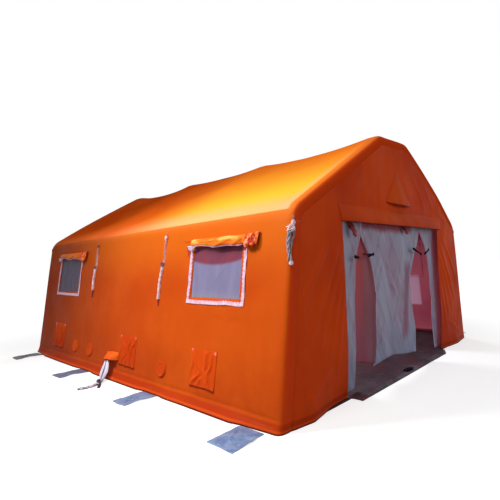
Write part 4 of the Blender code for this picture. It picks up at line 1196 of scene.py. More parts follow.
def skin_columns(extra=()):
    turns = np.minimum(np.linspace(0, math.pi / 2, 19)[1:], math.pi / 2 - 1e-6)
    wraps = np.arctan(np.tan(turns) ** (CORNER_FULLNESS / 2))
    beside_arches = [a + s for a in ARCHES for s in (-ARCH_FLAT, ARCH_FLAT) if abs(a + s) < END_ARCH_Y]
    places = sorted({*ARCHES, *beside_arches, *extra})
    y = steps_between(places, 0.03)
    flat = np.zeros_like(y)
    body = np.stack((y, flat, flat, bay_sag(y), hem_flare(y)))
    ends = []
    for end, turns in ((-1, wraps[::-1]), (1, wraps)):
        blank = np.zeros_like(turns)
        ends.append(stack(blank + end * END_ARCH_Y, blank + end, turns, blank, HEM_CORNER_FLARE * np.cos(turns)).T)
    return np.concatenate((ends[0], body, ends[1]), axis=1)


def swelled(points):
    """Cloth over the end arches, which swells outwards there: most of all high on the front's right side."""
    x, y, z = points[..., 0], points[..., 1], points[..., 2]
    wide = np.abs(x)
    weight = smooth((-2.45 - y) / 0.45) * smooth((x + 0.39) / 0.78) + 0.4 * smooth((y - 2.45) / 0.45)
    beside = np.maximum(smooth((wide - 1.6) / 0.6), smooth((z - 2.1) / 0.3) * smooth(wide / 0.6))
    aside = 0.040 * smooth(z / 1.6) * beside * np.sign(x)
    rise = (0.030 + 0.040 * np.sin(np.pi * np.clip((wide - 0.39) / 1.9, 0, 1))) * smooth((z - 2.0) / 0.25)
    return stack(x + aside * weight, y, z + rise * weight)


def skin_grid(side, line, columns):
    x, z, nx, nz, sag, flare = (row[:, None] for row in line)
    y, end, wrap, bay, foot = (row[None, :] for row in columns)
    inwards, aside = wrapped(wrap)
    inset = CORNER_RADIUS * inwards + bay * sag - foot * flare
    return swelled(stack(side * (x - nx * inset), y + end * CORNER_RADIUS * aside, z - nz * inset))


def window_edges():
    return [s * WINDOW_OFFSET + e * WINDOW_WIDTH / 2 for s in (-1, 1) for e in (-1, 1)]


def wall_attachments(side):
    boxes = [(p - 0.66, p + 0.66, 0.98, 1.86) for p in (-WINDOW_OFFSET, WINDOW_OFFSET)]
    boxes += [(y - 0.03, y + 0.03, 1.78, 1.97) for y in ARCHES]
    if side < 0:
        boxes += [(p - 0.22, p + 0.22, 0.17, 0.62) for p in DUCT_PLACES]
        boxes += [(p - 0.11, p + 0.11, 0.16, 0.40) for p in VALVE_PLACES]
        boxes.append((HOOD_PLACE - 0.19, HOOD_PLACE + 0.19, 0.05, 0.36))
    return boxes


def between_arches(y):
    """0 at each arch and 1 midway between two."""
    pitch = ARCHES[1] - ARCHES[0]
    return np.sin(np.pi * np.clip((np.abs((y - ARCHES[0]) % pitch)) / pitch, 0, 1)) ** 2


def wall_relief(side, grid):
    """How far the wall's cloth stands out of its plain shape."""
    y, z = grid[..., 1], grid[..., 2]
    seed = 10 if side < 0 else 20
    low = smooth(z / 0.15)
    relief = 0.004 * ripple(y / 0.6, z / 0.8, seed) * low
    calm = 0.35 + 0.65 * ripple(y / 0.7, z / 0.9, seed + 2) ** 2
    relief += 0.0016 * ripple(y / 0.10, z / 1.3, seed + 1) * low * calm
    relief -= 0.006 * between_arches(y) * np.sin(np.pi * np.clip(z / 1.95, 0, 1)) ** 0.7
    for arch in ARCHES:
        relief += 0.003 * bell(np.abs(y - arch) - 0.16, 0.03) * low * smooth((1.9 - z) / 0.3)
    drift = 0.012 * ripple(y / 0.9, 0, seed + 3)
    relief += 0.004 * bell(z - 0.142 - 0.5 * drift, 0.014)
    relief -= 0.005 * bell(z - 0.110 - 0.5 * drift, 0.014)
    relief += 0.013 * bell(z - 0.028, 0.016) * (0.8 + 0.2 * ripple(y / 0.3, 0, seed + 5))
    relief += 0.003 * ripple(y / 0.35, z / 0.1, seed + 4) * bell(z - 0.06, 0.05)
    for place in TAB_PLACES:
        for lean in (-0.30, -0.12, 0.10, 0.28):
            relief += fold(y, z, (place + lean * 0.4, 0.03), (place + lean * 1.6, 0.75), 0.022, 0.003)
    for arch in ARCHES[1:-1]:
        for lean in (-0.42, -0.22, 0.2, 0.4):
            relief += fold(y, z, (arch, 1.84), (arch + lean, 1.05), 0.03, 0.0022)
    for start, stop in (((-1.72, 1.02), (-1.92, 0.66)), ((-1.60, 0.98), (-1.70, 0.70)), ((-2.20, 1.02), (-2.08, 0.72))):
        relief += fold(y, z, start, stop, 0.018, 0.004)
    free = np.ones_like(y)
    for box in wall_attachments(side):
        free = free * outside(y, z, box, 0.07)
    return relief * free * smooth((END_ARCH_Y + 0.10 - np.abs(y)) / 0.12)


def add_skin(name, grid, material, away=None, keep=None):
    materials = [material, LINER_CLOTH]
    return add_piece(name + "_cloth", grid, materials, away, CLOTH, "tent", "skin_orange", name, keep=keep, inner=1)


def add_side_wall(side, side_name):
    columns = skin_columns(window_edges())
    line = wall_line()
    grid = skin_grid(side, line, columns)
    grid = push_out(grid, wall_relief(side, grid), None)
    y = (columns[0][:-1] + columns[0][1:]) / 2
    z = (line[1][:-1] + line[1][1:]) / 2
    in_height = (z > WINDOW_BOTTOM * math.cos(LEAN)) & (z < WINDOW_TOP * math.cos(LEAN))
    in_width = np.abs(np.abs(y) - WINDOW_OFFSET) < WINDOW_WIDTH / 2
    keep = ~(in_height[:, None] & in_width[None, :])
    name = f"side_wall_{side_name}"
    wall = add_skin(name, grid, SKIN_CLOTH, None, keep)


def roof_relief(grid, seed):
    x, y = grid[..., 0], grid[..., 1]
    inner = smooth((END_ARCH_Y - np.abs(y)) / 0.25)
    relief = 0.006 * ripple(y / 0.8, np.abs(x) / 0.7, seed) * between_arches(y)
    relief += 0.002 * ripple(y / 0.22, np.abs(x) / 0.6, seed + 1) * between_arches(y)
    return relief * inner


def add_roof(side, side_name):
    grid = skin_grid(side, slope_line(), skin_columns())
    grid = push_out(grid, roof_relief(grid, 30 + side), None)
    name = f"roof_{side_name}"
    roof = add_skin(name, grid, ROOF_PAINTED_LIGHT_CLOTH)


def add_roof_top():
    left, right = (skin_grid(side, top_line(), skin_columns()) for side, _ in SIDES)
    grid = np.concatenate((left, right[::-1][1:]))
    grid = push_out(grid, roof_relief(grid, 34), (0, 0, 1))
    top = add_skin("roof_top", grid, ROOF_PAINTED_LIGHT_CLOTH, (0, 0, 1))


def gable_rows():
    """The gable's outline as (half width, height) from the foot to the top, with a row at the door's top."""
    inset = CORNER_RADIUS + GAP
    line = np.concatenate((wall_line(), slope_line(), top_line()[:, :11]), axis=1)
    x = line[0] - line[2] * inset
    z = line[1] - line[3] * inset
    order = np.argsort(z, kind="stable")
    x, z = x[order], z[order]
    at = int(np.searchsorted(z, DOOR_HEIGHT))
    share = (DOOR_HEIGHT - z[at - 1]) / (z[at] - z[at - 1])
    edge = x[at - 1] + (x[at] - x[at - 1]) * share
    return np.insert(x, at, edge), np.insert(z, at, DOOR_HEIGHT), at


FRONT_HEM = ((-2.62, 0.0), (-2.39, 0.012), (-2.18, 0.046), (-1.98, 0.012), (-1.75, -0.030), (-1.40, -0.046),
             (1.40, -0.040), (1.75, 0.010), (2.05, 0.040), (2.35, 0.016), (2.62, 0.0))


GABLE_FOLDS = (
    ((1.52, 1.70), (2.12, 0.72), 0.034, 0.018), ((1.50, 1.52), (1.98, 0.60), 0.030, 0.016),
    ((1.50, 1.34), (1.80, 0.50), 0.028, 0.015), ((1.64, 1.82), (2.28, 1.02), 0.036, 0.014),
    ((1.48, 1.10), (1.68, 0.30), 0.026, 0.014), ((1.70, 0.45), (2.30, 0.14), 0.032, 0.012),
    ((1.60, 2.10), (2.05, 2.02), 0.030, 0.004), ((0.95, 2.16), (0.50, 2.62), 0.040, 0.006),
    ((1.30, 2.16), (0.95, 2.50), 0.040, 0.006),
)


def gable_relief(end, x, z):
    hem_x, hem_out = zip(*FRONT_HEM)
    seed = 40 if end < 0 else 50
    relief = np.interp(x, hem_x, hem_out) * np.maximum(0.0, 1 - z / 0.62) ** 2 * (1.0 if end < 0 else 0.5)
    side = np.sign(x)
    relief += 0.005 * ripple(x / 0.6, z / 0.8, seed)
    relief += 0.0022 * ripple((x - 0.25 * side * z) / 0.09, z / 1.1, seed + 1) * smooth(z / 0.3)
    for start, stop, width, height in GABLE_FOLDS:
        relief += fold(np.abs(x), z, start, stop, width, height * (1.0 if end < 0 else 0.8))
    free = outside(x, z, (-1.62, 1.62, 1.90, 2.12), 0.06) * outside(x, z, (-0.42, 0.42, 2.15, 2.68), 0.06)
    if end > 0:
        free = free * outside(x, z, (-1.50, 1.50, 0.0, 2.0), 0.06)
    outline = np.interp(z, gable_rows()[1], gable_rows()[0])
    free = free * np.where(z < 0.62, smooth((outline - np.abs(x)) / 0.05), smooth((outline - np.abs(x)) / 0.12))
    return relief * free


def add_gable(end, end_name):
    half, height, door_row = gable_rows()
    inner = np.where(height <= DOOR_HEIGHT + 1e-9, DOOR_WIDTH / 2, np.minimum(DOOR_WIDTH / 2, 0.8 * half))
    outer_share = np.linspace(0, 1, 37)
    inner_share = np.linspace(-1, 1, 81)
    left = -half[:, None] + (half - inner)[:, None] * outer_share[None, :]
    middle = inner[:, None] * inner_share[None, :]
    x = np.concatenate((left, middle[:, 1:-1], -left[:, ::-1]), axis=1)
    z = np.broadcast_to(height[:, None], x.shape)
    y = end * (GABLE_FACE + gable_relief(end, x, z))
    keep = np.ones((len(half) - 1, x.shape[1] - 1), bool)
    keep[:door_row, 36:-36] = False
    name = f"gable_{end_name}"
    gable = add_skin(name, swelled(stack(x, y, z)), GABLE_CLOTH, (0, end, 0), keep)


for side, side_name in SIDES:
    add_side_wall(side, side_name)
    add_roof(side, side_name)
add_roof_top()
for end, end_name in ENDS:
    add_gable(end, end_name)


# Air frame


def arch_path():
    radius = BEND_RADIUS - BEAM_INSET
    foot = FLOOR_SHEET + GAP
    eave, ridge = (
        [(centre[0] + radius * math.cos(t), centre[1] + radius * math.sin(t), t) for t in np.linspace(*tilts)]
        for centre, tilts in ((EAVE_CENTRE, (LEAN, ROOF_TILT, 9)), (RIDGE_CENTRE, (ROOF_TILT, math.pi / 2, 5)))
    )
    x_foot = BASE_WIDTH / 2 - foot * math.tan(LEAN) - BEAM_INSET / math.cos(LEAN)
    start = (x_foot, foot, LEAN)

    def between(a, b, count):
        return [tuple(a[k] + (b[k] - a[k]) * i / count for k in range(3)) for i in range(1, count)]

    half = [start] + between(start, eave[0], 10) + eave + between(eave[-1], ridge[0], 8) + ridge
    half += between(ridge[-1], (0.0, ridge[-1][1], math.pi / 2), 3)
    half.append((0.0, ridge[-1][1], math.pi / 2))
    return half + [(-x, z, math.pi - t) for x, z, t in reversed(half[:-1])]


def add_beam(name, rings):
    beam = dress(add_tube(name + "_tube", rings, [BEAM_CLOTH]), "tent", "beam_orange", name)


def add_arches():
    radius = BEAM_DIAMETER / 2
    sides = 36
    path = arch_path()
    for index, y in enumerate(ARCHES):
        rings = []
        last = len(path) - 1
        for k, (x, z, tilt) in enumerate(path):
            turn = 2 * math.pi * np.arange(sides) / sides
            foot = k in (0, last)
            size = radius * (0.93 if foot else 1.0)
            out = size * np.cos(turn)
            if foot:
                reach = out / abs(math.cos(tilt)) * (1 if x > 0 else -1)
                ring = stack(x + reach, y + size * np.sin(turn), np.full(sides, z))
            else:
                ring = stack(x + out * math.cos(tilt), y + size * np.sin(turn), z + out * math.sin(tilt))
            rings.append(ring)
        add_beam(f"air_arch_{index + 1}", rings)


def domed_rings(start, end, across, over, radius, sides=32, edge=0.02):
    """Rings of a straight inflated beam with rounded ends."""
    start, end = np.array(start), np.array(end)
    along = (end - start) / np.linalg.norm(end - start)
    turn = 2 * math.pi * np.arange(sides) / sides
    ring = np.outer(np.cos(turn), across) + np.outer(np.sin(turn), over)

    def dome(tip, inwards, angle):
        size = radius - edge * (1 - math.cos(math.pi / 2 - angle))
        return tip + inwards * edge * (1 - math.sin(angle)) + ring * size

    rings = [dome(start, along, angle) for angle in np.linspace(0, math.pi / 2, 5)]
    rings += [start + (end - start) * share + ring * radius for share in np.linspace(0, 1, 9)[1:-1]]
    return rings + [dome(end, -along, angle) for angle in np.linspace(math.pi / 2, 0, 5)]


def add_eave_beams():
    radius = SPACER_DIAMETER / 2
    reach = BEND_RADIUS - SKIN - GAP - radius
    for side, side_name in SIDES:
        x = side * (EAVE_CENTRE[0] + reach * math.cos(EAVE_SEAM))
        z = EAVE_CENTRE[1] + reach * math.sin(EAVE_SEAM)
        for bay, (first, last) in enumerate(zip(ARCHES, ARCHES[1:])):
            ends = first + BEAM_DIAMETER / 2 + GAP, last - BEAM_DIAMETER / 2 - GAP
            rings = domed_rings((x, ends[0], z), (x, ends[1], z), (1, 0, 0), (0, 0, 1), radius)
            add_beam(f"eave_beam_{side_name}_{bay + 1}", rings)


def beam_underside_x(z):
    inset = SKIN + GAP + BEAM_DIAMETER + GAP
    leg = BASE_WIDTH / 2 - z * math.tan(LEAN) - inset / math.cos(LEAN)
    rafter = EAVE_WIDTH / 2 - (inset + (z - EAVE_HEIGHT) * math.sin(ROOF_TILT)) / math.cos(ROOF_TILT)
    return min(leg, rafter)


def add_door_beams():
    radius = LINTEL_DIAMETER / 2
    turn = 2 * math.pi * np.arange(32) / 32
    for end, end_name in ENDS:
        rings = []
        for share in (-1.0, -0.992, -0.5, 0.0, 0.5, 0.992, 1.0):
            size = 0.86 if abs(share) == 1 else 1.0
            z = LINTEL_Z + radius * size * np.sin(turn)
            x = np.array([beam_underside_x(v) for v in z]) * share
            rings.append(stack(x, end * (LINTEL_Y + radius * size * np.cos(turn)), z))
        add_beam(f"door_beam_{end_name}", rings)


add_arches()
add_eave_beams()
add_door_beams()


# Floor


def add_ground_sheet():
    inset = (SKIN + GAP) / math.cos(LEAN)
    half = BASE_WIDTH / 2 - FLOOR_SHEET * math.tan(LEAN) - inset
    inner = GABLE_FACE - SKIN - GAP
    sill = DOOR_WIDTH / 2 - SILL_MARGIN
    wrap = CORNER_RADIUS
    reach = GABLE_FACE + SILL_REACH
    ends = [inner - wrap, inner, inner + 0.0002, reach]
    y = steps_between([-end for end in reversed(ends)] + ends, 0.04)
    far = np.abs(y)
    lap = np.where(far < inner - wrap, hem_flare(np.clip(y, -END_ARCH_Y, END_ARCH_Y)) - 0.012, 0.018)
    body = np.minimum(half + lap, half + lap - wrap + np.maximum(0, inner - far))
    width = np.where(far > inner + 0.0001, sill, body)
    share = np.linspace(-1, 1, 131)
    x = width[:, None] * share[None, :]
    yy = np.broadcast_to(y[:, None], x.shape)
    beyond = np.clip((-yy - inner - 0.03) / (reach - inner - 0.03), 0.0, 1.0)
    x = x - np.maximum(0.0, x - 0.9) * 0.46 * beyond
    outer = smooth((np.abs(yy) - inner - 0.01) / 0.03) * smooth((reach - np.abs(yy)) / 0.02 + 0.3)
    lift = (0.003 + 0.005 * ripple(x / 0.16, yy / 0.07, 61)) * outer
    inside = (1 - outer) * smooth((inner - 0.4 - np.abs(yy)) / 0.2) * smooth((half - 0.5 - np.abs(x)) / 0.2)
    lift = lift + 0.003 * (0.5 + 0.5 * ripple(x / 0.35, yy / 0.35, 62)) * inside
    grid = stack(x, yy, FLOOR_SHEET + np.maximum(0.0, lift))
    away = (0, 0, 1)
    sheet = add_piece("ground_sheet_cloth", grid, [MAT_CLOTH], away, 0.0028, "tent", "floor_grey", "ground_sheet")
    tab = ((-0.12, -3.045), (-0.13, -2.985), (-0.02, -2.965), (0.105, -2.985), (0.095, -3.035), (0.0, -3.06))
    middle = np.mean(tab, axis=0)
    rings = []
    for size, height in ((1.0, 0.010), (1.0, 0.014), (0.85, 0.018), (0.3, 0.019)):
        rings.append([(*(middle[k] + (p[k] - middle[k]) * size for k in (0, 1)), height) for p in tab])
    patch = dress(add_tube("sill_patch", rings, [BLACK_STRAP]), "tent", "grey_strap")


add_ground_sheet()


# Windows


def wall_name(side):
    return f"side_wall_{'left' if side < 0 else 'right'}"


def add_film(side, place, name):
    low, high = place - WINDOW_WIDTH / 2 - FILM_LAP, place + WINDOW_WIDTH / 2 + FILM_LAP
    y, up = np.meshgrid(np.linspace(low, high, 49), np.linspace(WINDOW_BOTTOM - FILM_LAP, WINDOW_TOP + FILM_LAP, 37))
    edge = smooth((WINDOW_WIDTH / 2 - np.abs(y - place)) / 0.10)
    edge = edge * smooth((up - WINDOW_BOTTOM) / 0.10) * smooth((WINDOW_TOP - up) / 0.10)
    seed = int(70 + 3 * side + (place > 0))
    slack = 0.0025 * ripple(y / 0.13, up / 0.5, seed) + 0.0015 * ripple((y + up) / 0.07, (y - up) / 0.3, seed + 1)
    for start, stop in (((-0.3, 0.5), (0.1, 0.1)), ((0.32, 0.52), (0.0, 0.2)), ((-0.1, 0.55), (-0.2, 0.05))):
        slack = slack + fold(y - place, up - WINDOW_BOTTOM, start, stop, 0.014, 0.003)
    out = -SKIN - GAP - FILM / 2 + edge * (slack - 0.002)
    grid, materials = wall_points(side, y, up, out), [FILM_SHEET, LINER_CLOTH]
    film = add_piece(name + "_sheet", grid, materials, (side, 0, 0), 0.0006, "tent", "clear_film", name, inner=1)
    wall_name(side)


def add_tape(side, place, name):
    """Fastening tape on three sides of a window, a little wavy where it has come loose."""
    inner = WINDOW_WIDTH / 2 + TAPE_MARGIN
    foot = WINDOW_BOTTOM - TAPE_MARGIN
    corners_in = [(-inner, WINDOW_TOP), (-inner, foot), (inner, foot), (inner, WINDOW_TOP)]
    outer = inner + TAPE_WIDTH
    corners_out = [(-outer, WINDOW_TOP), (-outer, foot - TAPE_WIDTH), (outer, foot - TAPE_WIDTH), (outer, WINDOW_TOP)]
    rows = [[], []]
    for leg, count in enumerate((40, 48, 40)):
        for share in (k / count for k in range(count + (leg == 2))):
            for row, corners in zip(rows, (corners_in, corners_out)):
                row.append([a + (b - a) * share for a, b in zip(corners[leg], corners[leg + 1])])
    rows_in, rows_out = np.array(rows)
    width = np.linspace(0, 1, 7)[None, :, None]
    flat = rows_in[:, None] * (1 - width) + rows_out[:, None] * width
    along = np.arange(len(flat))[:, None] / 8.0
    seed = int(80 + 3 * side + (place > 0))
    share = width[..., 0]
    wave = 0.5 + 0.5 * ripple(along * 1.6 + share * 1.5, share * 1.2, seed)
    out = GAP + 0.0024 + 0.009 * wave * (0.25 + 0.75 * share)
    drift = 0.005 * ripple(along / 1.3, 0.0, seed + 1)
    y = place + flat[..., 0] + drift
    up = flat[..., 1] + 0.005 * ripple(along / 1.1, 2.0, seed + 2)
    grid = wall_points(side, y, up, out)
    tape = add_piece(name + "_webbing", grid, [TAPE_CLOTH], (side, 0, 0), CLOTH, "tent", "white_tape", name)
    wall_name(side)


COVER_PROFILE = (
    (0.02, 0.0), (0.26, -0.02), (0.52, -0.10), (0.76, -0.26), (0.94, -0.48), (1.0, -0.74), (0.94, -0.96),
    (0.72, -1.04), (0.50, -0.97),
)
COVER_DRAPES = (
    ((-0.86, 0.04), (0.66, 0.22), 0.16), ((-0.84, 0.10), (0.42, 0.38), 0.20), ((-0.80, 0.16), (0.02, 0.50), 0.18),
    ((-0.78, 0.22), (-0.44, 0.54), 0.16), ((0.70, 0.10), (0.10, 0.46), 0.10), ((-0.60, 0.04), (0.10, 0.14), 0.12),
)


def cover_section(count):
    """(out, up) of a cover's cloth, and the share of it from seam to lip: a slack swag, rolled in under its lip."""
    swag = np.array(COVER_PROFILE)
    turns = np.radians(200 - np.linspace(0, 1010, 110))
    size = np.linspace(0.27, 0.13, 110)
    roll = np.stack((0.64 + size * np.cos(turns), -0.70 + size * np.sin(turns)), -1)
    line = np.concatenate((np.array([p[:2] for p in smooth_route([(a, b, 0.0) for a, b in swag], 0.03)]), roll))
    along = np.concatenate(([0.0], np.cumsum(np.linalg.norm(np.diff(line, axis=0), axis=1))))
    places = np.linspace(0, along[-1], count)
    low = int(np.argmin(line[:60, 1]))
    return np.interp(places, along, line[:, 0]), np.interp(places, along, line[:, 1]), along[low] / along[-1]


def add_cover(side, place, name):
    """A window cover bunched up loosely under its top seam: full at its front end, thin at its rear end."""
    count, around = 161, 180
    share = np.linspace(-1, 1, count)[:, None]
    out, up, lip_share = cover_section(around)
    angle = np.linspace(0, 1, around)[None, :] / lip_share * 0.57
    seed = 90 + int(2 * side) + 5 * int(place > 0)
    droop = 0.4 * COVER_DROOP * np.maximum(0.0, (-share - 0.8) / 0.2)
    tuft = smooth((-share - 0.72) / 0.12)
    thin = smooth((share - 0.64) / 0.12)
    tied = bell(share + 0.72, 0.04)
    tall = (0.108 - 0.030 * smooth((share + 0.3) / 0.9) + 0.006 * np.cos(9 * share)) * (1 - 0.14 * tied + 0.30 * tuft)
    tall = tall * (1 - thin) + 0.012 * thin
    deep = (0.072 + 0.006 * np.cos(5 * share + 1)) * (1 - 0.25 * tied + 0.06 * tuft)
    deep = deep * (1 - thin) + 0.004 * thin
    closed = smooth((-share - 0.93) / 0.07)
    tall, deep = tall * (1 - 0.30 * closed), deep * (1 - 0.45 * closed)
    out, up = out[None, :], up[None, :]
    gather = ripple(share * 8 + up * 2.0, angle * 4, seed)
    crumple = ripple(share * 24 - up * 5, angle * 11, seed + 1)
    grow = 1 + 0.05 * gather + (0.03 + 0.16 * tuft) * crumple
    for start, stop, height in COVER_DRAPES:
        grow = grow + crease(share, angle * 0.9, start, stop, 0.07, height) * (1 - tuft)
    pleat = np.abs(ripple(share * 30, angle * 1.6, seed + 2)) ** 0.5 - 0.55
    grow = grow + 0.30 * tuft * pleat
    grow = 1 + (grow - 1) * np.where(angle > 0.7, 0.35, 1.0)
    lead = smooth((0.05 - angle) / 0.05)
    out = GAP + 0.001 + np.clip(deep * out * (1 + (grow - 1) * (1 - lead)), 0.0, COVER_DEPTH + 0.004)
    lift = (0.014 * tuft + 0.036 * smooth((-share - 0.88) / 0.12)) * bell(angle - 0.10, 0.10) * (0.8 + 0.4 * crumple)
    up = COVER_TOP - droop - 0.008 + tall * up * (1 + 0.4 * (grow - 1)) + lift
    along = place + share * COVER_LENGTH / 2 * (1 + 0.010 * tuft * ripple(0 * share, angle * 9, seed + 3))
    along = np.clip(along, place - COVER_LENGTH / 2 - 0.008, place + COVER_LENGTH / 2 + 0.008)
    along = along - 0.036 * smooth((-share - 0.76) / 0.24) * (0.6 + 0.4 * np.cos(2.2 * angle))
    dark = 0.34 * tuft * pleat + 0.06 * tuft * crumple
    face = (dark[:-1, :-1] + dark[1:, 1:]) / 2
    tufted = np.broadcast_to(tuft, dark.shape)[:-1, :-1] > 0.35
    tones = np.where(tufted, 2, 0)
    tones[(face < -0.070) & tufted] = 1
    tones[:, int(1.06 * lip_share * around):] = 1
    tones[np.broadcast_to(thin, dark.shape)[:-1, :-1] > 0.5] = 3
    cloths, body = [COVER_PAINTED_LIGHT_CLOTH, COVER_SHADE, TUFT_SHADED_CLOTH, SKIN_CLOTH], name + "_body"
    cover = add_grid(name + "_roll", wall_points(side, along, up, out), cloths, (side, 0, 0.4), None, tones)
    dress(thicken(cover, THIN_CLOTH, offset=1.0), body, "flap_orange", name)
    wide = np.linspace(-0.80, 0.775, 110)
    row = (np.minimum(wide, 0.60) + 1) / 2 * (count - 1)
    low, part = np.floor(row).astype(int), row - np.floor(row)
    lip = int(lip_share * (around - 1))
    lip_out = out[low, lip] * (1 - part) + out[low + 1, lip] * part
    lip_up = up[low, lip] * (1 - part) + up[low + 1, lip] * part
    hang = 0.014 + 0.046 * bell(wide - 0.70, 0.10)
    down = np.linspace(0, 1, 6)[None, :]
    edge_up = (lip_up[:, None] + 0.004) - hang[:, None] * down
    edge_out = np.maximum(0.004, lip_out[:, None] + 0.003 - 0.020 * down * hang[:, None] / 0.05)
    edge_grid = wall_points(side, place + wide[:, None] * COVER_LENGTH / 2 + 0 * down, edge_up, edge_out)
    away = (side, 0, 0)
    extras = [add_piece(name + "_edge", edge_grid, [EDGE_CLOTH], away, EDGING, body, "white_tape", offset=1.0)]
    for number, (spot, length, half) in enumerate(((-0.73, 0.075, 0.011), (0.805, 0.125, 0.018)), 1):
        k = int((spot + 1) / 2 * (count - 1))
        fall, spread = np.meshgrid(np.linspace(0, 1, 15), np.linspace(-1, 1, 7), indexing="ij")
        tail_out = GAP + (0.010 if spot < 0 else 0.026) + float(deep[k, 0]) * 0.8 * (1 - fall) ** 2
        tail_out = tail_out + 0.004 * np.sin(6 * fall)
        tail_up = float(up[min(k, int(0.8 * count)), lip]) + 0.012 - length * fall
        tail_y = place + spot * COVER_LENGTH / 2 + half * (1 - 0.35 * fall) * spread + 0.006 * np.sin(7 * fall)
        grid, tail = wall_points(side, tail_y, tail_up, tail_out), f"{name}_tail_{number}"
        extras.append(add_piece(tail, grid, [COVER_SHADE], (side, 0, 0), EDGING, body, "grey_strap", offset=1.0))
    wall_name(side)


for side, side_name in SIDES:
    for end, end_name in ENDS:
        where = f"{side_name}_{end_name}"
        add_film(side, end * WINDOW_OFFSET, f"window_film_{where}")
        add_tape(side, end * WINDOW_OFFSET, f"window_tape_{where}")
        add_cover(side, end * WINDOW_OFFSET, f"window_cover_{where}")


# Service ports


def add_studs(name, body, places, radius, rise):
    """Small round press studs, as domed discs: places are (centre, outward) pairs."""
    points, faces = [], []
    for centre, out in places:
        centre, out = np.array(centre), np.array(out) / np.linalg.norm(out)
        side = np.cross(out, (0.0, 0.0, 1.0))
        side /= np.linalg.norm(side)
        over = np.cross(out, side)
        base = len(points)
        turn = 2 * math.pi * np.arange(16) / 16
        for size, lift in ((1.0, 0.0), (1.0, 0.5), (0.86, 0.85), (0.5, 1.0), (0.3, 0.8)):
            for a in turn:
                points.append(centre + (side * math.cos(a) + over * math.sin(a)) * radius * size + out * rise * lift)
        faces += ring_faces(5, 16, base)
        faces.append(tuple(base + 64 + k for k in range(16)))
        faces.append(tuple(base + k for k in reversed(range(16))))
    return dress(add_object(name, points, faces, [STUD]), body, "white_tape")


DUCT_FOLDS = (
    ((-0.40, 0.02), (-0.22, 0.90), 0.012), ((-0.12, 0.03), (-0.04, 0.55), 0.013),
    ((0.42, 0.02), (0.10, 0.62), 0.012), ((0.10, 0.60), (0.30, 0.96), 0.013),
    ((-0.06, 0.50), (-0.34, 0.96), 0.011), ((0.44, 0.12), (0.40, 0.92), 0.008),
    ((-0.02, 0.72), (0.12, 0.98), 0.011),
)


def add_flap(name, node, grid, material, away, thickness, body, hem):
    """A flap of cloth. Its last rows, or its first ones with a number below 0, are a hem in a darker cloth: painted
    shade along the flap's lower edge.
    """
    tones = np.zeros(np.array(grid.shape[:2]) - 1, int)
    tones[slice(-hem, None) if hem > 0 else slice(-hem)] = 1
    materials = [material, HEM_SHADE_CLOTH]
    return add_piece(name, grid, materials, away, thickness, body, "flap_orange", node, tones=tones)


def add_duct_flap(number, place):
    name = f"duct_port_flap_{number}"
    share, down = np.meshgrid(np.linspace(-0.5, 0.5, 57), np.linspace(0, 1, 57))
    wave = 0.5 + 0.5 * np.cos(9 * share + 3 * down)
    relief = 0.006 * down * wave
    relief = relief + 0.0025 * ripple(share * 7, down * 6, 100 + number) * smooth(down / 0.2)
    jitter = 0.06 * ripple(share * 5, down * 5, 109 + number)
    for index, (start, stop, height) in enumerate(DUCT_FOLDS):
        stop = (stop[0] + 0.10 * float(ripple(float(number), float(index), 77)), stop[1])
        relief = relief + crease(share + jitter, down, start, stop, 0.09, 1.45 * height)
    relief = relief * smooth((0.5 - np.abs(share)) / 0.03 + 0.25) * smooth(down / 0.05)
    out = GAP + FLAP + np.clip(relief, 0.0, 0.026)
    curl = 0.008 * smooth((down - 0.88) / 0.12) * (0.6 + 0.4 * ripple(share * 4, 0.0, 103 + number))
    y = place + share * DUCT_WIDTH * (1 - 0.03 * down) + 0.004 * ripple(down * 4, 3.0, 112 + number)
    up = DUCT_TOP - down * DUCT_DROP + 0.010 * ripple(share * 3.5, 1.0, 106 + number) * down
    grid = wall_points(-1, y, up, out + curl)
    flap = add_flap(name + "_cloth", name, grid, FLAP_CLOTH, (-1, 0, 0), 0.0022, name + "_body", 2)
    outward = (-math.cos(LEAN), 0.0, math.sin(LEAN))
    spots = [(wall_points(-1, place + s * 0.188, DUCT_TOP - 0.022, GAP + FLAP + 0.001), outward) for s in (-1, 1)]
    studs = add_studs(name + "_studs", name + "_body", spots, 0.017, 0.004)


VALVE_PROFILE = (
    (0.0, 0.0105), (0.14, 0.0110), (0.30, 0.0118), (0.42, 0.0112), (0.52, 0.0098), (0.60, 0.0100), (0.68, 0.0128),
    (0.76, 0.0146), (0.83, 0.0138), (0.89, 0.0104), (0.94, 0.0066), (0.98, 0.0040), (1.0, 0.0022),
)


def add_valve_cover(number, place):
    name = f"valve_cover_{number}"
    radius = VALVE_DIAMETER / 2
    sizes, rises = (np.array(v) for v in zip(*VALVE_PROFILE))
    turn = 2 * math.pi * np.arange(65) / 64
    size, angle = np.meshgrid(np.maximum(sizes, 0.004), turn, indexing="ij")
    rise = rises[:, None] * (1 + 0.16 * size * ripple(2 + 1.6 * np.cos(angle), 2 + 1.6 * np.sin(angle), 115 + number))
    rise = rise * (1 - 0.55 * size * np.sin(angle))
    wobble = 1 + 0.018 * np.sin(3 * angle + number) * size
    out = GAP + 0.0006 + rise * (VALVE_DOME + FLAP) / 0.015
    across, over = radius * size * wobble * np.cos(angle), radius * size * wobble * np.sin(angle)
    grid, body = wall_points(-1, place + across, VALVE_HEIGHT + over, out), name + "_body"
    cover = add_piece(name + "_cloth", grid, [FLAP_CLOTH], (-1, 0, 0), CLOTH, body, "flap_orange", name)


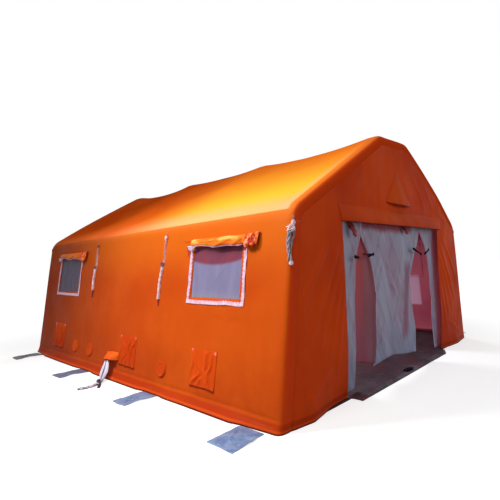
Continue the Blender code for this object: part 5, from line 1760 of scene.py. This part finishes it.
def add_hood():
    share, down = np.meshgrid(np.linspace(0, 1, 41), np.linspace(0, 1, 19))
    edge = np.minimum(share, 1 - share)
    reach = np.sin(np.minimum(1.0, edge / (HOOD_RETURN / HOOD_WIDTH)) * np.pi / 2)
    out = GAP + FLAP + HOOD_STAND * np.sin(down * np.pi / 2) * reach
    out = out + 0.008 * down * reach * ripple(share * HOOD_WIDTH / 0.16, down * 1.5, 120)
    grid = wall_points(-1, HOOD_PLACE + (share - 0.5) * HOOD_WIDTH, HOOD_TOP - down * HOOD_DROP, out)
    back = np.clip((grid[..., 1] - HOOD_PLACE) / (HOOD_WIDTH / 2), 0.0, 1.0)
    grid[..., 1] -= 0.055 * back * smooth((HOOD_TOP - grid[..., 2]) / HOOD_DROP)
    grid[..., 2] -= 0.022 * back + 0.028 * smooth((HOOD_TOP - grid[..., 2]) / HOOD_DROP)
    node, away = "cable_port_hood", (-1, 0, 0.6)
    hood = add_flap(node + "_cloth", node, grid, HOOD_PAINTED_LIGHT_CLOTH, away, HEAVY_CLOTH, node + "_body", 2)


def add_sleeve():
    """A slack cloth sleeve of two lobes with a deep crease between them, gathered to its neck."""
    route = smooth_route([tuple(p) for p in sleeve_route()], 0.008)
    shape = np.array(SLEEVE_ROUTE)
    place = np.linspace(0, len(SLEEVE_ROUTE) - 1, len(route))
    width = np.interp(place, np.arange(len(shape)), shape[:, 3])
    heading = np.radians(np.interp(place, np.arange(len(shape)), shape[:, 4]))
    start_along = Vector(wall_points(-1, 0.0, 0.0, 1.0)) - Vector(wall_points(-1, 0.0, 0.0, 0.0))
    rings = []
    sides = 48
    for index, centre in enumerate(route):
        ahead = route[min(index + 1, len(route) - 1)] - route[max(index - 1, 0)]
        share = index / (len(route) - 1)
        if index < 3:
            ahead = start_along.lerp(ahead.normalized(), index / 3)
        across = Vector((-math.sin(heading[index]), math.cos(heading[index]), 0.0))
        over = across.cross(ahead).normalized()
        full = 1 + 0.30 * math.sin(math.pi * share ** 1.3) + 0.03 * math.sin(14 * share)
        ring = []
        for k in range(sides):
            angle = 2 * math.pi * k / sides
            side = math.cos(angle)
            pinch = 1 - 0.80 * math.exp(-(((side - 0.1) / 0.20) ** 2)) * min(1.0, share * 4)
            pleat = 1 + 0.05 * math.sin(5 * angle + 3 * share) + 0.06 * share * math.sin(9 * angle)
            ring.append(
                centre
                + across * (width[index] / 2 * side * full)
                + over * (SLEEVE_THICKNESS / 2 * math.sin(angle) * pinch * pleat)
            )
        rings.append([tuple(p) for p in ring])
    sleeve = add_tube("cable_sleeve_cloth", rings, [SLEEVE_CLOTH, SHADE_CLOTH])
    for face in sleeve.data.polygons:
        spot = (face.index % sides) / sides * 2 * math.pi
        if 3 * sides < face.index < (len(route) - 8) * sides and abs(math.cos(spot) - 0.1) < 0.16:
            face.material_index = 1
    dress(sleeve, "tent", "white_sleeve", "cable_sleeve")
    neck = route[-4]
    ahead = (route[-1] - route[-8]).normalized()
    across = Vector((-math.sin(heading[-4]), math.cos(heading[-4]), 0.0))
    over = across.cross(ahead).normalized()
    place = route[-1] + Vector((0.0, 0.0, 0.010))
    aside = place + Vector((-0.012, -0.016, 0.004))
    level = (Vector((0.0, 1.0, 0.0)), Vector((-1.0, 0.0, 0.0)), Vector((0.0, 0.0, 1.0)))
    for wrap in (
        ring_tube("cable_sleeve_knot", neck, across, over, ahead, (0.027, 0.021), 0.010, 3, KNOT_BRAID),
        add_knot("cable_sleeve_tangle", place, *level, (0.044, 0.036, 0.026), 0.016, TIE_BRAID),
        add_knot("cable_sleeve_bind", aside, *level, (0.034, 0.030, 0.024), 0.010, DARK_BRAID),
    ):
        dress(wrap, "tent", "white_cord")


def add_knot_strap():
    """The short dark strap that lies from the sleeve's knot towards the front."""
    start = sleeve_route()[-1]
    places = ((0.012, 0.02, 0.020), (0.03, 0.07, 0.008), (0.060, 0.12, 0.0035), (0.100, 0.18, 0.003))
    route = smooth_route([(start.x - out, start.y - along, height) for out, along, height in places], 0.012)
    grid = []
    for index, centre in enumerate(route):
        ahead = route[min(index + 1, len(route) - 1)] - route[max(index - 1, 0)]
        side = Vector((ahead.y, -ahead.x, 0.0)).normalized()
        grid.append([tuple(centre + side * w) for w in (-0.020, -0.008, 0.008, 0.020)])
    strap = add_piece("sleeve_strap", np.array(grid), [NAVY_STRAP], (0, 0, 1), 0.002, "tent", "grey_strap")


for number, place in enumerate(DUCT_PLACES, 1):
    add_duct_flap(number, place)
for number, place in enumerate(VALVE_PLACES, 1):
    add_valve_cover(number, place)
add_hood()
add_sleeve()
add_knot_strap()


# Doors


def gable_points(end, x, z, out):
    return stack(x, end * (GABLE_FACE + np.asarray(out)), z)


def add_header():
    share, down = np.meshgrid(np.linspace(0, 1, 141), np.linspace(0, 1, 19))
    width = HEADER_WIDTH + 0.03
    edge = np.minimum(share, 1 - share)
    reach = np.sin(np.minimum(1.0, edge / (1.9 * HEADER_RETURN / width)) * np.pi / 2)
    out = GAP + FLAP + 0.85 * HEADER_STAND * np.sin(down * np.pi / 2) ** 1.5 * reach
    out = out + 0.005 * down * reach * ripple(share * width / 0.22, down * 1.5, 130)
    out = out + 0.003 * reach * bell(down - 0.24, 0.05)
    left = -HEADER_WIDTH / 2 + 0.045 + 0.060 * down
    x = left + (HEADER_WIDTH / 2 + 0.03 - left) * share
    z = HEADER_TOP - down * (HEADER_TOP - HEADER_BOTTOM)
    z = z - 0.006 * down * reach * (0.5 + 0.5 * ripple(share * 6, 0.0, 131))
    grid = gable_points(-1, x, z, np.maximum(out, GAP + FLAP))
    node = "front_door_header_flap"
    header = add_flap("front_door_header_cloth", node, grid, FLAP_CLOTH, (0, -1, 0.2), HEAVY_CLOTH, node + "_body", 1)


def add_vent_hood(end, end_name):
    name = f"vent_hood_{end_name}"
    half = VENT_WIDTH / 2
    share, down = np.meshgrid(np.linspace(-1, 1, 49), np.linspace(0.03, 1, 37))
    bulge = (1 - np.abs(share) ** 1.6) * down ** 1.6
    out = GAP + FLAP + 0.85 * VENT_STAND * bulge + 0.004 * ripple(share * 3, down * 3, 140) * bulge
    out = out + crease(share, down, (0.0, 0.05), (-0.55, 0.95), 0.10, 0.006) * down
    z = VENT_APEX + (VENT_BASE - VENT_APEX) * down - VENT_DROOP * bulge
    askew = (0.008 + 0.045 * down) if end < 0 else 0.0
    grid = gable_points(end, share * half * down + askew, z, np.maximum(out, GAP + FLAP))
    hood = add_flap(name + "_cloth", name, grid, FLAP_CLOTH, (0, end, 0.2), HEAVY_CLOTH, "tent", 1)


def add_rear_door():
    half = DOOR_WIDTH / 2 + REAR_DOOR_LAP
    top = DOOR_HEIGHT + REAR_DOOR_LAP
    x, z = np.meshgrid(np.linspace(-half, half, 121), np.linspace(REAR_DOOR_CLEARANCE, top, 81))
    share = np.maximum(0.0, np.cos(x / half * math.pi / 2) * np.sin(z / top * math.pi))
    relief = REAR_DOOR_BULGE * share + 0.006 * ripple(x / 0.5, z / 0.6, 150) * share
    relief = relief + 0.003 * ripple(x / 0.09, z / 1.2, 151) * np.sqrt(share)
    for seam in (-0.9, 0.9):
        relief = relief + 0.004 * bell(x - seam, 0.012)
    relief = relief + 0.003 * bell(z - 0.16, 0.012) * np.sqrt(share)
    grid = gable_points(1, x, z, GAP + FLAP + np.maximum(relief, 0.0))
    door = add_flap("rear_door_cloth", "rear_door", grid, FLAP_CLOTH, (0, 1, 0), HEAVY_CLOTH, "rear_door_body", -2)


def slit_pull(slit, drop, which):
    table = np.array(slit)
    return np.interp(drop, table[:, 0], table[:, which])


MIDDLE_FOLDS = (
    ((-0.25, 1.45), (-0.02, 1.25), 0.012), ((-0.22, 1.20), (0.00, 1.03), 0.012),
    ((-0.25, 0.90), (-0.10, 0.42), 0.014), ((0.44, 1.52), (0.24, 1.15), 0.014),
    ((0.25, 1.18), (0.15, 0.68), 0.014), ((-0.33, 1.44), (-0.54, 1.22), 0.011),
    ((-0.38, 1.28), (-0.62, 1.02), 0.010), ((0.05, 0.85), (0.16, 0.34), 0.010),
    ((-0.50, 0.72), (-0.56, 0.26), 0.011), ((-0.10, 1.78), (0.16, 1.68), 0.008),
    ((-0.55, 1.74), (-0.30, 1.50), 0.008), ((0.34, 0.60), (0.40, 0.30), 0.010),
)
SIDE_FOLDS = (
    ((1.02, 1.80), (1.24, 1.10), 0.010), ((1.30, 1.70), (1.36, 0.90), 0.012),
    ((1.22, 1.00), (1.36, 0.30), 0.010), ((1.40, 0.80), (1.43, 0.20), 0.010),
)


def curtain_grid(left_edge, right_edge, hem, seed, folds, rise=0.0):
    full = CURTAIN_TOP - hem
    down = np.linspace(0, 1, 91)[:, None]
    share = np.linspace(0, 1, 121 if rise else 61)[None, :]
    lift = rise * np.sin(np.pi * np.clip(share, 0, 1) ** 0.7)
    drop = down * (full - lift + (0.055 * share ** 1.3 if rise else 0.0))
    left, right = left_edge(drop), right_edge(drop)
    x = left + (right - left) * share
    z = CURTAIN_TOP - drop
    ease = smooth(down / 0.22)
    wave = 0.010 * np.sin(2 * np.pi * (x / 0.62 + 0.1 * down) + seed) * ease
    wave = wave + 0.010 * ripple(x / 0.34, z / 0.9, seed) * ease + 0.004 * ripple(x / 0.10, z / 0.3, seed + 1) * ease
    wave = wave + 0.006 * ripple(x / 0.08, z / 1.5, seed + 2) * (1 - ease)
    for start, stop, height in folds:
        wave = wave + crease(np.abs(x) if rise == 0 else x, z, start, stop, 0.040, 1.5 * height)
    edge = np.minimum(x - left, right - x)
    wave = wave - 0.012 * np.exp(-edge / 0.03) * ease
    wave = np.clip(wave, -0.10 * drop - 0.0004, 0.10 * drop + 0.0004)
    y = -LINTEL_Y - np.clip(wave, -0.036, 0.052)
    z = z + 0.006 * ripple(share * 5, 0.0, seed + 3) * smooth((down - 0.9) / 0.1)
    return stack(x, y, np.maximum(z, FLOOR_SHEET + 0.006))


def curtain_tie(name, body, start, stop, out, width, material):
    """A short tie strap across a curtain, given by the (x, z) of its two ends."""
    along = np.array([stop[0] - start[0], 0.0, stop[1] - start[1]])
    over = np.array([-along[2], 0.0, along[0]]) / np.linalg.norm(along)
    rings = []
    for share in np.linspace(0, 1, 15):
        centre = np.array([start[0], -LINTEL_Y - out - 0.006 * math.sin(math.pi * share), start[1]]) + along * share
        thick = 0.0055 * (1 if 0 < share < 1 else 0.4)
        wide = width / 2 * (1 + 0.25 * math.sin(8 * share)) * (1 if 0 < share < 1 else 0.7)
        turn = 2 * math.pi * np.arange(12) / 12
        ring = [centre + over * (wide * math.cos(a)) + np.array((0.0, thick * math.sin(a), 0.0)) for a in turn]
        rings.append(ring)
    return dress(add_tube(name, np.array(rings), [material]), body, "grey_strap")


def curtain_toggle(name, body, top, bottom, out, thick):
    """A red rolled fastening strap that hangs from a curtain's head."""
    rings = []
    for share in np.linspace(0, 1, 19):
        x = top[0] + (bottom[0] - top[0]) * share + 0.006 * math.sin(9 * share)
        z = top[1] + (bottom[1] - top[1]) * share
        size = thick * (1 - 0.35 * share) * (1 + 0.10 * math.sin(22 * share))
        size = size * min(1.0, 0.5 + 6 * min(share, 1 - share))
        turn = 2 * math.pi * np.arange(20) / 20
        y = -LINTEL_Y - 0.010 - (out - 0.010) * min(1.0, 1.6 * share)
        y = y - 0.35 * size * np.sin(turn) * min(1.0, 0.25 + 2 * share)
        wide = size * np.cos(turn) * (1 + 0.12 * np.sin(3 * turn + 8 * share))
        rings.append(stack(x + wide, y, z + 0.010 * np.cos(turn) * math.sin(5 * share)))
    return dress(add_tube(name, rings, [RED_CLOTH]), body, "grey_strap")


def curtain_seam(name, body, grid, column):
    """A narrow pale hem along one upright edge of a curtain."""
    columns = [column + k * (1 if column == 0 else -1) for k in range(2)]
    strip = grid[:, columns].copy()
    inwards = strip[:, 1] - strip[:, 0]
    strip[:, 1] = strip[:, 0] + inwards / np.linalg.norm(inwards, axis=-1, keepdims=True) * 0.016
    strip[..., 1] -= 0.0022
    return add_piece(name, strip, [EDGE_CLOTH], (0, -1, 0), THIN_CLOTH, body, "white_curtain", offset=0.0)


CURTAIN_TIES = {
    "left": [("_tie", (-1.180, 1.520), (-1.070, 1.506), 0.056, 0.034, BLACK_STRAP)],
    "middle": [
        ("_tie_1", (-0.860, 1.528), (-0.700, 1.545), 0.057, 0.036, BLACK_STRAP),
        ("_tie_3", (-0.975, 1.552), (-0.835, 1.530), 0.055, 0.022, RED_STRAP),
        ("_tie_2", (0.500, 1.612), (0.830, 1.512), 0.056, 0.034, BLACK_STRAP),
    ],
    "right": [("_tie", (0.925, 1.524), (1.130, 1.600), 0.056, 0.034, BLACK_STRAP)],
}
CURTAIN_TOGGLES = {
    "left": ((-1.190, 1.925), (-1.165, 1.750), 0.070, 0.060),
    "middle": ((0.285, 1.925), (0.292, 1.815), 0.064, 0.056),
}


def add_curtains():
    split = DOOR_WIDTH / 2 - CURTAIN_SPLIT
    outer = DOOR_WIDTH / 2 + CURTAIN_LAP
    low = FLOOR_SHEET + CURTAIN_FLOOR_CLEARANCE

    def left_rim(drop):
        return -split - GAP - slit_pull(LEFT_SLIT, drop, 1)

    def middle_left(drop):
        return -split + GAP + slit_pull(LEFT_SLIT, drop, 2) + 0.045 * bell(drop - 0.68, 0.30)

    def middle_right(drop):
        return split - GAP - slit_pull(RIGHT_SLIT, drop, 2)

    def right_rim(drop):
        return split + GAP + slit_pull(RIGHT_SLIT, drop, 1)

    panels = (
        ("left", lambda d: -outer + 0 * d, left_rim, low, 160, SIDE_FOLDS, 0.0),
        ("middle", middle_left, middle_right, low + MIDDLE_HEM_RISE, 163, MIDDLE_FOLDS, 0.055),
        ("right", right_rim, lambda d: outer + 0.07 + 0 * d, low, 166, SIDE_FOLDS, 0.0),
    )
    for side, left_edge, right_edge, hem, seed, folds, rise in panels:
        name = f"front_curtain_{side}"
        body = name + "_body"
        grid = curtain_grid(left_edge, right_edge, hem, seed, folds, rise)
        sheet, away = name + "_cloth", (0, -1, 0)
        curtain = add_piece(sheet, grid, [CURTAIN_CLOTH], away, THIN_CLOTH, body, "white_curtain", name, offset=0.0)
        extras = []
        if side != "middle":
            extras.append(curtain_seam(name + "_seam", body, grid, -1 if side == "left" else 0))
        extras += [curtain_tie(name + end, body, *tie) for end, *tie in CURTAIN_TIES[side]]
        if side in CURTAIN_TOGGLES:
            extras.append(curtain_toggle(name + "_toggle", body, *CURTAIN_TOGGLES[side]))
        if side == "middle":
            extras.append(add_inner_fold(name + "_inner", body, left_rim, middle_left, hem))
            extras.append(curtain_seam(name + "_seam", body, grid, 0))
        drops = np.linspace(0, CURTAIN_TOP - hem, 50)
        widths = (right_edge(drops) - left_edge(drops)) * 1.05


def add_inner_fold(name, body, left_rim, middle_left, hem):
    """The slack of the middle curtain, turned inwards beside the left slit."""
    down = np.linspace(0.06, 1, 71)[:, None]
    share = np.linspace(0, 1, 31)[None, :]
    drop = down * (CURTAIN_TOP - hem - 0.13 + 0.09 * share)
    left, right = left_rim(drop) + 0.006, middle_left(drop) + 0.004
    x = left + (right - left) * share
    z = CURTAIN_TOP - drop
    back = 0.030 * smooth((1 - share) / 0.10) + 0.008 * ripple(x / 0.12, z / 0.7, 190) * smooth((1 - share) / 0.2)
    y = -LINTEL_Y + 0.002 + back
    grid = stack(x, y, z)
    return add_piece(name, grid, [FOLD_CLOTH], (0, -1, 0), THIN_CLOTH, body, "white_curtain", offset=0.0)


add_header()
add_rear_door()
for end, end_name in ENDS:
    add_vent_hood(end, end_name)
add_curtains()


# Ground tabs and loops


def add_tab(side, side_name, index, place):
    name = f"ground_tab_{side_name}_{index + 1}"
    base_y = abs(place) - TAB_WIDTH / 2
    share_out = min(1.0, (END_ARCH_Y - abs(base_y)) / HEM_RUN_OUT)
    hem = (HEM_CORNER_FLARE + (HEM_FLARE - HEM_CORNER_FLARE) * share_out) / math.cos(LEAN)
    inner = BASE_WIDTH / 2 + hem + GAP
    along, across = np.meshgrid(np.linspace(0, 1, 49), np.linspace(-0.5, 0.5, 33), indexing="ij")
    seed = 170 + 4 * index + (30 if side > 0 else 0)
    wave = TAB_WAVE * (0.5 - 0.5 * np.cos(2 * math.pi * along))
    crumple = 0.006 * (0.5 + 0.5 * ripple(along * 6, across * 4, seed)) * smooth(along / 0.1)
    for start, stop in (((0.1, -0.4), (0.7, 0.3)), ((0.2, 0.4), (0.9, -0.2)), ((0.5, -0.5), (0.75, 0.5))):
        crumple = crumple + crease(along, across, start, stop, 0.09, 0.010)
    edge = 1 + 0.08 * ripple(along * 2.6, 0.0, seed + 1) * smooth(along / 0.15)
    edge = edge - (0.05, 0.14, 0.30, 0.16)[index] * bell(along - 0.55, 0.22)
    if index == 0:
        edge = edge + 0.24 * smooth((along - 0.15) / 0.3) * (across < 0)
    skew = 0.03 * float(ripple(index + 0.4, side + 0.3, 7)) * along
    cut = 1 - 0.05 * (0.5 + 0.5 * ripple(across * 2.5, 0.0, seed + 2))
    reach = inner + (TAB_REACH - inner) * along * cut
    height = 0.0032 + wave + crumple * smooth((1 - along) / 0.08 + 0.2)
    grid = stack(side * reach, place + across * TAB_WIDTH * edge + skew, height)
    tab = add_piece(name + "_sheet", grid, [FOIL_CLOTH], (0, 0, 1), 0.0022, name + "_body", "silver_tab", name)


def add_loops(side, side_name):
    """The webbing tabs sewn on under the eave: a folded strap with its lower end open as a loop."""
    points, faces = [], []
    for loop_side, _, (foot, up, out) in loop_frames():
        if loop_side != side:
            continue
        across = up.cross(out)
        base = len(points)
        foot_z = LOOP_TOP - LOOP_LENGTH
        profile = [(LOOP_TOP, 0.0), (LOOP_TOP, 0.0020), (LOOP_TOP - 0.030, 0.0024), (LOOP_TOP - 0.040, 0.0045)]
        profile += [(foot_z, 0.0050), (foot_z - 0.002, 0.0030), (foot_z, 0.0004)]
        for height, lift in profile:
            for width in (-0.5, -0.25, 0.0, 0.25, 0.5):
                points.append(foot + up * height + across * (width * LOOP_WIDTH) + out * lift)
        for r in range(len(profile) - 1):
            for k in range(4):
                a = base + r * 5 + k
                faces.append((a, a + 1, a + 6, a + 5))
    loops = add_object(f"eave_loops_{side_name}", swelled(np.array(points)), faces, [LOOP_CLOTH])
    dress(thicken(loops, THIN_CLOTH, offset=0.0), "tent", "grey_strap")


for side, side_name in SIDES:
    for index, place in enumerate(TAB_PLACES):
        add_tab(side, side_name, index, place)
    add_loops(side, side_name)


bpy.context.scene.view_settings.view_transform = "Standard"
